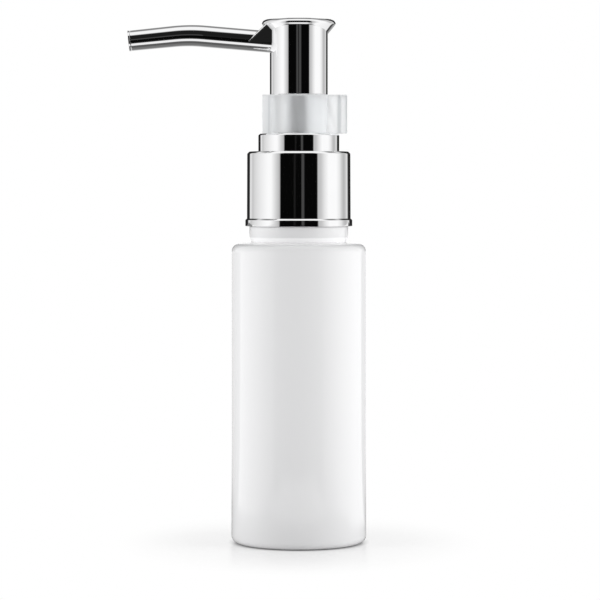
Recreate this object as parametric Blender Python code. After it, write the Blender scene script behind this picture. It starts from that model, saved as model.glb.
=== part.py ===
"""Slim cosmetic bottle with a long-nozzle lotion pump, as separate pieces at real size.

Metres, +Z up. The origin is on the bottle's axis, on the surface it stands on, and the
nozzle points along -X. Every round piece is a closed outline in (radius, height) turned
about the axis. Heights are worked out upwards from the bottle's neck, and radii outwards
from the plunger stem, so the pieces follow each other when one size is changed.
"""
from math import acos, asin, atan2, cos, pi, sin, sqrt, tan

import bmesh
import bpy
from mathutils import Vector

MM = 0.001

# Clearances
FIT_GAP = 0.3 * MM              # between pieces that touch or seat
SLIDE_GAP = 0.4 * MM            # between pieces that slide past each other in the stroke

# Facets round a full turn, and the forms' own fineness
SHOWN_FACETS = 40
HIDDEN_FACETS = 24
CORNER_FACETS = 3
NOZZLE_FACETS = 20
BORE_FACETS = 16
SMALL_BORE_FACETS = 12
PORT_FACETS = 8
FORM_OVERCUT = 1.0 * MM         # how far a cutting form reaches past the face that it opens
MERGE_DISTANCE = 0.002 * MM
SHARP_ANGLE = 0.6               # radians: an edge that bends more than this is shaded crisp

# Bottle
BODY_R = 18.4 * MM
HEEL_FLARE = 0.15 * MM          # the foot is this much wider than the body, on the radius
HEEL_HEIGHT = 26.0 * MM
BODY_WALL = 1.2 * MM
BASE_THICKNESS = 1.6 * MM
HEEL_FILLET = 2.0 * MM
SHOULDER_Z = 81.9 * MM
SHOULDER_FILLET = 1.8 * MM
FOOT_WIDTH = 3.4 * MM
BASE_PAD_R = 7.0 * MM
BASE_GROOVE_DEPTH = 0.6 * MM
LAND_INSET = 0.8 * MM           # the land under the bead, against the bead, on the radius
LAND_HEIGHT = 1.1 * MM
BEAD_REACH = 2.75 * MM          # from the neck's wall to the bead's edge
BEAD_HEIGHT = 3.6 * MM
BEAD_LOWER_FILLET = 0.7 * MM
BEAD_UPPER_FILLET = 0.3 * MM
INNER_FILLET = 1.0 * MM
NECK_R = 10.8 * MM
NECK_WALL = 1.8 * MM
NECK_HEIGHT = 15.8 * MM

# Screw thread of the neck and its closure
THREAD_PITCH = 3.175 * MM
THREAD_TURNS = 1.5
THREAD_DEPTH = 1.1 * MM
THREAD_ROOT_WIDTH = 2.1 * MM
THREAD_CREST_WIDTH = 1.0 * MM
THREAD_TOP_MARGIN = 2.0 * MM    # from the thread's upper end to the rim
THREAD_STEPS = 30
THREAD_FADE_STEPS = 3
THREAD_END_SHARE = 0.35         # of a ridge's full height, at its two ends
THREAD_SINK = 0.3 * MM          # how far a ridge reaches into its wall

# Gasket, flange and closure, stacked on the rim
GASKET_THICKNESS = 0.9 * MM
GASKET_OVERHANG = 0.5 * MM
FLANGE_THICKNESS = 1.2 * MM
FLANGE_OVERHANG = 0.7 * MM
CORE_PLATE = 0.7 * MM
CORE_WALL = 1.0 * MM
CORE_SKIRT_LIFT = 1.1 * MM      # the cap's skirt ends this far above the shell's bottom edge
SHELL_PLATE = 0.5 * MM
SHELL_WALL = 0.5 * MM           # at the top
SHELL_DRAFT = 0.18 * MM         # wider at the flange than at the top, on the radius
SHELL_TOP_FILLET = 0.5 * MM
SHELL_FLANGE_REACH = 0.37 * MM
SHELL_FLANGE_HEIGHT = 1.8 * MM
SHELL_FLANGE_FILLET = 0.35 * MM
CLOSURE_HOLE_MARGIN = 1.0 * MM  # the closure's hole is this much wider than the housing's cup

# Plunger stem and what surrounds it, from the middle outwards
STEM_BORE_R = 2.3 * MM
STEM_WALL = 1.3 * MM
BOSS_WALL = 0.7 * MM
CHIMNEY_WALL = 0.8 * MM
CHIMNEY_TO_SKIRT = 1.1 * MM
SKIRT_WALL = 0.95 * MM
CLIP_WALL = 1.95 * MM

# Stem guide
STEP_REACH = 2.6 * MM           # from the closure's hole to the step's edge
STEP_HEIGHT = 4.55 * MM
STEP_FILLET = 0.4 * MM
STEP_WALL = 1.1 * MM
GUIDE_FOOT = 0.55 * MM          # width of the ring on which the guide stands on the shell
GUIDE_FLOOR = 1.3 * MM          # height of the chimney's floor above the shell's top
CHIMNEY_LAP = 1.55 * MM         # how far the chimney reaches into the skirt at rest

# Lock clip
CLIP_HEIGHT = 10.3 * MM
CLIP_DRAFT = 0.3 * MM
CLIP_LIP_WALL = 0.95 * MM
CLIP_LIP_X = 10.1 * MM          # the lips beside the mouth end here
CLIP_LIP_SPREAD = 0.25 * MM
CLIP_TAB_X = 13.3 * MM
CLIP_TAB_NECK = 0.7 * MM        # half thickness of the tab's web
CLIP_TAB_BEAD = 0.95 * MM       # half thickness of the bead along the tab's end
CLIP_ARC_STEPS = 16
CLIP_BEAD_STEPS = 4

# Head
STROKE = 10.0 * MM
ACTUATOR_HEIGHT = 5.1 * MM
BOSS_MARGIN = 1.3 * MM          # left under the boss at full stroke
PAD_END_REACH = 2.21 * MM       # the leaf-shaped top stands out this far at its two points
PAD_SIDE_REACH = 0.47 * MM      # and this far at the front and the back
PAD_STEPS = 20                  # along each of its two arcs
FLARE_DROP = 0.4 * MM           # the flare's form starts this far below the actuator's top
FLARE_HEIGHT = 2.7 * MM
FLARE_SPREAD = 2.4 * MM         # how much narrower the flare is at its foot
RIM_FACE = 0.5 * MM             # upright part of the rim
RIM_FACE_DRAFT = 0.05 * MM
RIM_SLOPE = 0.4 * MM            # height of the sloping part above it
RIM_SLOPE_INSET = 0.45 * MM
RIM_WALL = 0.9 * MM
CAP_SEAT_DEPTH = 1.35 * MM
CAP_RISE = 0.87 * MM
CAP_STEPS = 6
CAP_SPIGOT_R = 5.8 * MM
CAP_SPIGOT_WALL = 0.8 * MM

# Nozzle
SPOUT_START_X = 3.9 * MM        # the forms of the nozzle begin here, inside the skirt
NOZZLE_RISE = 2.47 * MM         # axis above the actuator's underside, at the skirt
NOZZLE_BEND_X = 29.9 * MM
NOZZLE_BEND_RISE = 1.99 * MM
NOZZLE_TIP_X = 46.65 * MM
NOZZLE_TIP_DROP = 1.56 * MM
NOZZLE_ROOT_R = 3.0 * MM
NOZZLE_END_R = 2.8 * MM
NOZZLE_BORE_R = 1.8 * MM
NOZZLE_BEND_SPREAD = 4.0 * MM
NOZZLE_BEND_STEPS = 5
NOZZLE_PROBE = 0.1 * MM         # half the length over which the axis's slope is taken
LINER_BORE_R = 0.9 * MM
LINER_START_X = 4.2 * MM
TIP_FLANGE = 0.55 * MM
TIP_SPIGOT = 3.4 * MM
TIP_BORE_R = 0.85 * MM
TIP_LIP = 0.05 * MM             # the tip ring stands out this far beyond the nozzle
GUSSET_REACH = 6.2 * MM         # from the skirt to the foot of the slope
GUSSET_TOP_DROP = 0.15 * MM     # below the flare's rim
GUSSET_FLAT = 0.1 * MM          # the side faces lie this far inside the nozzle's radius

# Housing, piston and spring
NECK_TO_CUP = 0.4 * MM
CUP_WALL = 1.2 * MM
CUP_DEPTH = 9.8 * MM
CUP_FLOOR = 1.4 * MM
CYLINDER_BORE_R = 5.5 * MM
CYLINDER_WALL = 1.0 * MM
SEAL_THICKNESS = 1.1 * MM
PISTON_HEADROOM = 0.6 * MM
PISTON_FLOAT = 0.9 * MM
PISTON_HEIGHT = 6.0 * MM
PISTON_FLOOR = 2.0 * MM
PISTON_LIP = 1.2 * MM
PISTON_LIP_TAPER = 0.6 * MM
PISTON_WAIST = 0.6 * MM
ROD_FLANGE = 1.2 * MM
ROD_FLANGE_INSET = 0.3 * MM
ROD_REACH = 22.0 * MM
ROD_TAIL_R = 2.6 * MM
ROD_TAIL_SHORT = 2.3 * MM       # left between the rod's tail and the cage at full stroke, and more
SPRING_PRESSED = 8.6 * MM
SPRING_WIRE = 0.8 * MM
SPRING_R = 4.2 * MM
SPRING_COILS = 5
SPRING_END_PITCH = 1.2 * MM
SPRING_POINTS = 10

# Inlet valve and dip tube
BALL_R = 2.0 * MM
BALL_LIFT = 1.2 * MM
CAGE_FLANGE = 0.8 * MM
CAGE_WALL = 0.6 * MM
CAGE_ROOF = 1.2 * MM
CAGE_PORT_R = 0.6 * MM
CAGE_PORTS = 3
VALVE_WALL = 1.1 * MM
SEAT_HOLE_R = 1.4 * MM
SEAT_WALL = 1.6 * MM
SOCKET_DEPTH = 8.0 * MM
TUBE_R = 2.0 * MM
TUBE_WALL = 0.6 * MM
TUBE_FLOOR_GAP = 3.0 * MM

# Radii that follow from the sizes above
NECK_BORE_R = NECK_R - NECK_WALL
BEAD_R = NECK_R + BEAD_REACH
LAND_R = BEAD_R - LAND_INSET
CORE_BORE_R = NECK_R + THREAD_DEPTH + SLIDE_GAP
CORE_R = CORE_BORE_R + CORE_WALL
SHELL_BORE_R = CORE_R + FIT_GAP
SHELL_TOP_R = SHELL_BORE_R + SHELL_WALL
SHELL_BOTTOM_R = SHELL_TOP_R + SHELL_DRAFT
SHELL_FLANGE_R = SHELL_BOTTOM_R + SHELL_FLANGE_REACH
CUP_R = NECK_BORE_R - NECK_TO_CUP
CUP_BORE_R = CUP_R - CUP_WALL
PLUG_R = CUP_BORE_R - FIT_GAP
CLOSURE_HOLE_R = CUP_BORE_R + CLOSURE_HOLE_MARGIN
STEP_R = CLOSURE_HOLE_R + STEP_REACH
CYLINDER_R = CYLINDER_BORE_R + CYLINDER_WALL
STEM_R = STEM_BORE_R + STEM_WALL
GUIDE_BORE_R = STEM_R + FIT_GAP
BOSS_R = GUIDE_BORE_R + BOSS_WALL
CHIMNEY_BORE_R = BOSS_R + SLIDE_GAP
CHIMNEY_R = CHIMNEY_BORE_R + CHIMNEY_WALL
SKIRT_BORE_R = CHIMNEY_R + CHIMNEY_TO_SKIRT
SKIRT_R = SKIRT_BORE_R + SKIRT_WALL
CLIP_BORE_R = SKIRT_R + FIT_GAP
PAD_HALF_LENGTH = SKIRT_R + PAD_END_REACH
PAD_HALF_WIDTH = SKIRT_R + PAD_SIDE_REACH
PAD_ARC_R = (PAD_HALF_LENGTH ** 2 + PAD_HALF_WIDTH ** 2) / (2 * PAD_HALF_WIDTH)
PAD_ARC_SHIFT = PAD_ARC_R - PAD_HALF_WIDTH
ROD_R = STEM_BORE_R - FIT_GAP
PISTON_R = CYLINDER_BORE_R - FIT_GAP
VALVE_BORE_R = BALL_R + 2 * FIT_GAP + CAGE_WALL
LINER_R = NOZZLE_BORE_R - FIT_GAP

# Heights that follow from the sizes above
BEAD_Z = SHOULDER_Z + LAND_HEIGHT
BEAD_TOP_Z = BEAD_Z + BEAD_HEIGHT
RIM_Z = BEAD_TOP_Z + NECK_HEIGHT
GASKET_Z = RIM_Z + FIT_GAP
FLANGE_Z = GASKET_Z + GASKET_THICKNESS + FIT_GAP
FLANGE_TOP_Z = FLANGE_Z + FLANGE_THICKNESS
CORE_PLATE_Z = FLANGE_TOP_Z + FIT_GAP
CORE_TOP_Z = CORE_PLATE_Z + CORE_PLATE
SHELL_PLATE_Z = CORE_TOP_Z + FIT_GAP
SHELL_TOP_Z = SHELL_PLATE_Z + SHELL_PLATE
SHELL_Z = BEAD_TOP_Z + FIT_GAP
STEP_Z = SHELL_TOP_Z + FIT_GAP
DECK_Z = STEP_Z + STEP_HEIGHT
GUIDE_FLOOR_Z = SHELL_TOP_Z + GUIDE_FLOOR
CLIP_Z = DECK_Z + FIT_GAP
SKIRT_Z = CLIP_Z + CLIP_HEIGHT + FIT_GAP
CHIMNEY_TOP_Z = SKIRT_Z + CHIMNEY_LAP
ACTUATOR_Z = CHIMNEY_TOP_Z + STROKE + SLIDE_GAP
ACTUATOR_TOP_Z = ACTUATOR_Z + ACTUATOR_HEIGHT
FLARE_Z = ACTUATOR_TOP_Z - FLARE_DROP
FLARE_TOP_Z = FLARE_Z + FLARE_HEIGHT
RIM_FACE_TOP_Z = FLARE_TOP_Z + RIM_FACE
HEAD_RIM_Z = RIM_FACE_TOP_Z + RIM_SLOPE
CAP_SEAT_Z = HEAD_RIM_Z - CAP_SEAT_DEPTH
NOZZLE_Z = ACTUATOR_Z + NOZZLE_RISE
CUP_FLOOR_Z = FLANGE_TOP_Z - CUP_DEPTH
SEAL_Z = CUP_FLOOR_Z + FIT_GAP
PLUG_Z = SEAL_Z + SEAL_THICKNESS + FIT_GAP
PISTON_TOP_Z = CUP_FLOOR_Z - PISTON_FLOAT - PISTON_HEADROOM
PISTON_Z = PISTON_TOP_Z - PISTON_HEIGHT
STEM_Z = PISTON_Z + PISTON_FLOOR + PISTON_FLOAT + FIT_GAP
ROD_FLANGE_TOP_Z = PISTON_Z - FIT_GAP
ROD_FLANGE_Z = ROD_FLANGE_TOP_Z - ROD_FLANGE
SPRING_TOP_Z = ROD_FLANGE_Z - FIT_GAP
SPRING_Z = SPRING_TOP_Z - SPRING_PRESSED - STROKE
CAGE_TOP_Z = SPRING_Z - FIT_GAP
CAGE_FLANGE_Z = CAGE_TOP_Z - CAGE_FLANGE
CYLINDER_FLOOR_Z = CAGE_FLANGE_Z - FIT_GAP
CAGE_ROOF_Z = CAGE_TOP_Z - CAGE_ROOF
BALL_Z = CAGE_ROOF_Z - FIT_GAP - BALL_LIFT - BALL_R
SEAT_Z = BALL_Z - (BALL_R + FIT_GAP) * sqrt(2) + SEAT_HOLE_R
SEAT_TOP_Z = SEAT_Z + VALVE_BORE_R - SEAT_HOLE_R
SOCKET_TOP_Z = SEAT_Z - SEAT_WALL
SOCKET_Z = SOCKET_TOP_Z - SOCKET_DEPTH


def clear_scene():
    for old in list(bpy.data.objects):
        bpy.data.objects.remove(old, do_unlink=True)


def finish(name, colour, roughness, metallic=0.0, alpha=1.0):
    """A plain Principled material in the piece's own colour."""
    material = bpy.data.materials.new(name)
    material.use_nodes = True
    shader = material.node_tree.nodes["Principled BSDF"]
    shader.inputs["Base Color"].default_value = (*colour, 1.0)
    shader.inputs["Roughness"].default_value = roughness
    shader.inputs["Metallic"].default_value = metallic
    shader.inputs["Alpha"].default_value = alpha
    return material


def frame_at(name, height):
    """An empty on the axis that carries the pieces of one moving group."""
    empty = bpy.data.objects.new(name, None)
    empty.location = (0.0, 0.0, height)
    bpy.context.scene.collection.objects.link(empty)
    return empty


def add_piece(name, mesh, frame, material=None):
    """Put a mesh in the scene, with its origin on its group's frame."""
    for vertex in mesh.vertices:
        vertex.co.z -= frame.location.z
    piece = bpy.data.objects.new(name, mesh)
    piece.parent = frame
    bpy.context.scene.collection.objects.link(piece)
    if material:
        mesh.materials.append(material)
    return piece


def as_form(piece):
    """Mark an object as a form that only cuts or extends another piece."""
    piece.hide_render = True
    piece.display_type = "WIRE"
    return piece


def combine(piece, form, operation):
    """Cut the piece with a form, or join the form to it."""
    boolean = piece.modifiers.new(operation.lower() + "_" + form.name, "BOOLEAN")
    boolean.operation = operation
    boolean.solver = "EXACT"
    boolean.object = as_form(form)


def corner_points(before, corner, after, radius):
    """The points of a round corner of an outline."""
    point = Vector(corner)
    to_before = (Vector(before) - point).normalized()
    to_after = (Vector(after) - point).normalized()
    half_angle = to_before.angle(to_after) / 2
    setback = radius / tan(half_angle)
    centre = point + (to_before + to_after).normalized() * radius / sin(half_angle)
    start = point + to_before * setback - centre
    finish_at = point + to_after * setback - centre
    turn = atan2(start.x * finish_at.y - start.y * finish_at.x, start.dot(finish_at))
    first = atan2(start.y, start.x)
    points = []
    for step in range(CORNER_FACETS + 1):
        angle = first + turn * step / CORNER_FACETS
        points.append((centre.x + radius * cos(angle), centre.y + radius * sin(angle)))
    return points


def outline(corners):
    """A closed outline. A corner is (x, y), or (x, y, fillet radius)."""
    points = []
    for index, corner in enumerate(corners):
        before = corners[index - 1][:2]
        after = corners[(index + 1) % len(corners)][:2]
        if len(corner) == 3:
            points += corner_points(before, corner[:2], after, corner[2])
        else:
            points.append(corner)
    return points


def smooth_mesh(bm, name):
    """Close the build of a mesh: faces outwards, shaded smooth with crisp edges."""
    bmesh.ops.remove_doubles(bm, verts=bm.verts, dist=MERGE_DISTANCE)
    bmesh.ops.recalc_face_normals(bm, faces=bm.faces)
    mesh = bpy.data.meshes.new(name)
    bm.to_mesh(mesh)
    bm.free()
    mesh.shade_smooth()
    mesh.set_sharp_from_angle(angle=SHARP_ANGLE)
    return mesh


def turned_mesh(name, corners, facets=HIDDEN_FACETS):
    """Turn a closed outline of (radius, height) corners about the axis."""
    bm = bmesh.new()
    verts = [bm.verts.new((radius, 0.0, height)) for radius, height in outline(corners)]
    pairs = [(verts[index - 1], verts[index]) for index in range(len(verts))]
    edges = [bm.edges.new(pair) for pair in pairs if pair[0].co.x + pair[1].co.x > 0]
    bmesh.ops.spin(bm, geom=verts + edges, cent=(0, 0, 0), axis=(0, 0, 1), angle=2 * pi,
                   steps=facets, use_merge=True)
    return smooth_mesh(bm, name)


def lofted_mesh(name, rings):
    """A closed tube or block through rings that have equal numbers of points."""
    bm = bmesh.new()
    loops = [[bm.verts.new(point) for point in ring] for ring in rings]
    for lower, upper in zip(loops, loops[1:]):
        for index in range(len(lower)):
            bm.faces.new((lower[index - 1], lower[index], upper[index], upper[index - 1]))
    bm.faces.new(loops[0])
    bm.faces.new(loops[-1])
    return smooth_mesh(bm, name)


def thread_mesh(name, wall_r, crest_r, start_angle, start_z):
    """A helical ridge that fades out at both ends. wall_r lies inside its wall."""
    steps = int(THREAD_STEPS * THREAD_TURNS)
    rings = []
    for step in range(steps + 1):
        angle = start_angle + 2 * pi * step / THREAD_STEPS
        height = start_z + THREAD_PITCH * step / THREAD_STEPS
        fade = min(1.0, THREAD_END_SHARE + min(step, steps - step) / THREAD_FADE_STEPS)
        edge_r = wall_r + (crest_r - wall_r) * fade
        ring = []
        for radius, offset in ((wall_r, -THREAD_ROOT_WIDTH / 2), (edge_r, -THREAD_CREST_WIDTH / 2),
                               (edge_r, THREAD_CREST_WIDTH / 2), (wall_r, THREAD_ROOT_WIDTH / 2)):
            ring.append((radius * cos(angle), radius * sin(angle), height + offset))
        rings.append(ring)
    return lofted_mesh(name, rings)


def build_bottle(frame):
    """Blown body with a flat foot, a round heel and shoulder, and a moulded screw neck."""
    foot_r = BODY_R + HEEL_FLARE - HEEL_FILLET
    body_inner = BODY_R - BODY_WALL
    shoulder_floor = SHOULDER_Z - BODY_WALL
    corners = [
        (0.0, 0.0), (BASE_PAD_R, 0.0), (BASE_PAD_R + BASE_GROOVE_DEPTH, BASE_GROOVE_DEPTH),
        (foot_r - FOOT_WIDTH - BASE_GROOVE_DEPTH, BASE_GROOVE_DEPTH), (foot_r - FOOT_WIDTH, 0.0),
        (BODY_R + HEEL_FLARE, 0.0, HEEL_FILLET), (BODY_R, HEEL_HEIGHT),
        (BODY_R, SHOULDER_Z, SHOULDER_FILLET), (LAND_R, SHOULDER_Z), (LAND_R, BEAD_Z),
        (BEAD_R, BEAD_Z, BEAD_LOWER_FILLET), (BEAD_R, BEAD_TOP_Z, BEAD_UPPER_FILLET),
        (NECK_R, BEAD_TOP_Z), (NECK_R, RIM_Z), (NECK_BORE_R, RIM_Z),
        (NECK_BORE_R, shoulder_floor, INNER_FILLET), (body_inner, shoulder_floor, INNER_FILLET),
        (body_inner, BASE_THICKNESS, INNER_FILLET), (0.0, BASE_THICKNESS),
    ]
    mesh = turned_mesh("bottle", corners, SHOWN_FACETS)
    bottle = add_piece("bottle", mesh, frame, finish("bottle_white", (0.86, 0.86, 0.87), 0.28))
    start_z = RIM_Z - THREAD_TOP_MARGIN - THREAD_PITCH * THREAD_TURNS
    ridge = thread_mesh("neck_thread_form", NECK_R - THREAD_SINK, NECK_R + THREAD_DEPTH, 0.0, start_z)
    combine(bottle, add_piece("neck_thread_form", ridge, frame), "UNION")


def build_closure_core(frame):
    """Moulded screw cap: its thread runs in the neck's thread half a pitch away."""
    skirt_z = SHELL_Z + CORE_SKIRT_LIFT
    corners = [
        (CORE_BORE_R, skirt_z), (CORE_R, skirt_z), (CORE_R, CORE_TOP_Z), (CLOSURE_HOLE_R, CORE_TOP_Z),
        (CLOSURE_HOLE_R, CORE_PLATE_Z), (CORE_BORE_R, CORE_PLATE_Z),
    ]
    mesh = turned_mesh("closure_core", corners, SHOWN_FACETS)
    core = add_piece("closure_core", mesh, frame, finish("cap_plastic", (0.8, 0.8, 0.8), 0.5))
    start_z = RIM_Z - THREAD_TOP_MARGIN - THREAD_PITCH * (THREAD_TURNS + 0.5)
    ridge = thread_mesh("cap_thread_form", CORE_BORE_R + THREAD_SINK, NECK_R + SLIDE_GAP, 0.0, start_z)
    combine(core, add_piece("cap_thread_form", ridge, frame), "UNION")


def build_collar_shell(frame):
    """Drawn bright shell with a rolled flange at its foot, pressed over the screw cap."""
    flange_top = SHELL_Z + SHELL_FLANGE_HEIGHT
    corners = [
        (SHELL_BORE_R, SHELL_Z), (SHELL_FLANGE_R, SHELL_Z, SHELL_FLANGE_FILLET),
        (SHELL_FLANGE_R, flange_top, SHELL_FLANGE_FILLET), (SHELL_BOTTOM_R, flange_top),
        (SHELL_TOP_R, SHELL_TOP_Z, SHELL_TOP_FILLET), (CLOSURE_HOLE_R, SHELL_TOP_Z),
        (CLOSURE_HOLE_R, SHELL_PLATE_Z), (SHELL_BORE_R, SHELL_PLATE_Z),
    ]
    mesh = turned_mesh("collar_shell", corners, SHOWN_FACETS)
    add_piece("collar_shell", mesh, frame, finish("collar_chrome", (0.9, 0.9, 0.91), 0.06, 1.0))


def build_neck_gasket(frame):
    """Soft washer that seals the housing's flange to the bottle's rim."""
    top = GASKET_Z + GASKET_THICKNESS
    inner = CUP_R + FIT_GAP
    outer = NECK_R + GASKET_OVERHANG
    corners = [(inner, GASKET_Z), (outer, GASKET_Z), (outer, top), (inner, top)]
    mesh = turned_mesh("neck_gasket", corners)
    add_piece("neck_gasket", mesh, frame, finish("gasket_foam", (0.75, 0.75, 0.72), 0.8))


def build_pump_housing(frame):
    """Cylinder that hangs from its flange: guide cup, piston bore, valve and tube socket."""
    flange_r = NECK_R + FLANGE_OVERHANG
    cup_foot = CUP_FLOOR_Z - CUP_FLOOR
    valve_r = VALVE_BORE_R + VALVE_WALL
    cylinder_foot = CYLINDER_FLOOR_Z - CYLINDER_WALL
    socket_r = TUBE_R + FIT_GAP
    corners = [
        (flange_r, FLANGE_Z), (flange_r, FLANGE_TOP_Z), (CUP_BORE_R, FLANGE_TOP_Z),
        (CUP_BORE_R, CUP_FLOOR_Z), (CYLINDER_BORE_R, CUP_FLOOR_Z),
        (CYLINDER_BORE_R, CYLINDER_FLOOR_Z), (VALVE_BORE_R, CYLINDER_FLOOR_Z),
        (VALVE_BORE_R, SEAT_TOP_Z), (SEAT_HOLE_R, SEAT_Z), (SEAT_HOLE_R, SOCKET_TOP_Z),
        (socket_r, SOCKET_TOP_Z), (socket_r, SOCKET_Z), (socket_r + VALVE_WALL, SOCKET_Z),
        (socket_r + VALVE_WALL, SOCKET_TOP_Z), (valve_r, SEAT_Z), (valve_r, cylinder_foot),
        (CYLINDER_R, cylinder_foot), (CYLINDER_R, cup_foot), (CUP_R, cup_foot), (CUP_R, FLANGE_Z),
    ]
    mesh = turned_mesh("pump_housing", corners, SHOWN_FACETS)
    add_piece("pump_housing", mesh, frame, finish("housing_plastic", (0.82, 0.83, 0.83), 0.4))


def build_stem_guide(frame):
    """Bright step and chimney over the collar, plugged into the housing's cup."""
    neck_r = CLOSURE_HOLE_R - FIT_GAP
    neck_foot = FLANGE_TOP_Z + FIT_GAP
    recess_r = STEP_R - STEP_WALL
    recess_top = DECK_Z - STEP_WALL
    inner_r = neck_r + GUIDE_FOOT
    corners = [
        (CHIMNEY_BORE_R, CHIMNEY_TOP_Z), (CHIMNEY_BORE_R, GUIDE_FLOOR_Z), (GUIDE_BORE_R, GUIDE_FLOOR_Z),
        (GUIDE_BORE_R, PLUG_Z), (PLUG_R, PLUG_Z), (PLUG_R, neck_foot), (neck_r, neck_foot),
        (neck_r, STEP_Z), (inner_r, STEP_Z), (inner_r, recess_top), (recess_r, recess_top),
        (recess_r, STEP_Z), (STEP_R, STEP_Z), (STEP_R, DECK_Z, STEP_FILLET),
        (CHIMNEY_R, DECK_Z), (CHIMNEY_R, CHIMNEY_TOP_Z),
    ]
    mesh = turned_mesh("stem_guide", corners, SHOWN_FACETS)
    add_piece("stem_guide", mesh, frame, finish("guide_chrome", (0.9, 0.9, 0.91), 0.06, 1.0))


def build_stem_seal(frame):
    """Wiper ring round the stem, held under the guide."""
    top = SEAL_Z + SEAL_THICKNESS
    corners = [(GUIDE_BORE_R, SEAL_Z), (PLUG_R, SEAL_Z), (PLUG_R, top), (GUIDE_BORE_R, top)]
    mesh = turned_mesh("stem_seal", corners)
    add_piece("stem_seal", mesh, frame, finish("seal_plastic", (0.7, 0.72, 0.74), 0.6))


def build_valve_cage(frame):
    """Cup over the ball, with ports in its roof and a flange under the spring."""
    flange_r = CYLINDER_BORE_R - FIT_GAP
    bore_r = BALL_R + FIT_GAP
    wall_r = bore_r + CAGE_WALL
    foot = SEAT_TOP_Z + FIT_GAP
    corners = [
        (0.0, CAGE_ROOF_Z), (bore_r, CAGE_ROOF_Z), (bore_r, foot), (wall_r, foot),
        (wall_r, CAGE_FLANGE_Z), (flange_r, CAGE_FLANGE_Z), (flange_r, CAGE_TOP_Z), (0.0, CAGE_TOP_Z),
    ]
    cage = add_piece("valve_cage", turned_mesh("valve_cage", corners), frame,
                     finish("cage_plastic", (0.8, 0.8, 0.78), 0.5))
    port_ring = bore_r - CAGE_PORT_R - FIT_GAP
    for port in range(CAGE_PORTS):
        angle = 2 * pi * port / CAGE_PORTS
        rings = []
        for height in (CAGE_ROOF_Z - FORM_OVERCUT, CAGE_TOP_Z + FORM_OVERCUT):
            centre = (port_ring * cos(angle), port_ring * sin(angle), height)
            rings.append(ring_points(centre, (0, 0, 1), CAGE_PORT_R, PORT_FACETS))
        form = lofted_mesh("cage_port_form_" + str(port), rings)
        combine(cage, add_piece("cage_port_form_" + str(port), form, frame), "DIFFERENCE")


def build_inlet_ball(frame):
    """Steel ball over the conical seat."""
    bm = bmesh.new()
    bmesh.ops.create_icosphere(bm, subdivisions=3, radius=BALL_R)
    bmesh.ops.translate(bm, verts=bm.verts, vec=(0.0, 0.0, BALL_Z))
    mesh = smooth_mesh(bm, "inlet_ball")
    add_piece("inlet_ball", mesh, frame, finish("ball_steel", (0.75, 0.75, 0.76), 0.15, 1.0))


def build_dip_tube(frame):
    """Suction tube from the valve socket to just above the bottle's floor."""
    bottom = BASE_THICKNESS + TUBE_FLOOR_GAP
    top = SOCKET_TOP_Z - FIT_GAP
    bore = TUBE_R - TUBE_WALL
    corners = [(bore, bottom), (TUBE_R, bottom), (TUBE_R, top), (bore, top)]
    mesh = turned_mesh("dip_tube", corners)
    add_piece("dip_tube", mesh, frame, finish("tube_plastic", (0.85, 0.86, 0.86), 0.3))


def build_return_spring(frame):
    """Round-wire spring with one close turn at each end."""
    rise = SPRING_TOP_Z - SPRING_Z - SPRING_WIRE
    open_pitch = (rise - 2 * SPRING_END_PITCH) / SPRING_COILS
    turns = SPRING_COILS + 2
    curve = bpy.data.curves.new("return_spring", "CURVE")
    curve.dimensions = "3D"
    curve.bevel_depth = SPRING_WIRE / 2
    curve.bevel_resolution = 1
    curve.use_fill_caps = True
    curve.render_resolution_u = 0
    count = turns * SPRING_POINTS + 1
    spline = curve.splines.new("POLY")
    spline.points.add(count - 1)
    height = SPRING_Z + SPRING_WIRE / 2 - frame.location.z
    for index in range(count):
        angle = 2 * pi * index / SPRING_POINTS
        spline.points[index].co = (SPRING_R * cos(angle), SPRING_R * sin(angle), height, 1.0)
        close = index < SPRING_POINTS or index >= count - 1 - SPRING_POINTS
        height += (SPRING_END_PITCH if close else open_pitch) / SPRING_POINTS
    curve.materials.append(finish("spring_steel", (0.6, 0.6, 0.62), 0.25, 1.0))
    spring = bpy.data.objects.new("return_spring", curve)
    spring.parent = frame
    bpy.context.scene.collection.objects.link(spring)


def build_stem(frame):
    """Hollow plunger tube from the piston up into the head."""
    top = ACTUATOR_Z
    corners = [(STEM_BORE_R, STEM_Z), (STEM_R, STEM_Z), (STEM_R, top), (STEM_BORE_R, top)]
    mesh = turned_mesh("stem", corners)
    add_piece("stem", mesh, frame, finish("stem_plastic", (0.83, 0.84, 0.84), 0.4))


def build_piston_rod(frame):
    """Rod in the stem's bore, with the flange that the spring pushes up."""
    flange_r = CYLINDER_BORE_R - FIT_GAP - ROD_FLANGE_INSET
    tail_z = ROD_FLANGE_Z - SPRING_PRESSED + ROD_TAIL_SHORT
    corners = [
        (0.0, tail_z), (ROD_TAIL_R, tail_z), (ROD_TAIL_R, ROD_FLANGE_Z), (flange_r, ROD_FLANGE_Z),
        (flange_r, ROD_FLANGE_TOP_Z), (ROD_R, ROD_FLANGE_TOP_Z), (ROD_R, STEM_Z + ROD_REACH),
        (0.0, STEM_Z + ROD_REACH),
    ]
    mesh = turned_mesh("piston_rod", corners)
    add_piece("piston_rod", mesh, frame, finish("rod_plastic", (0.8, 0.8, 0.8), 0.5))


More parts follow.
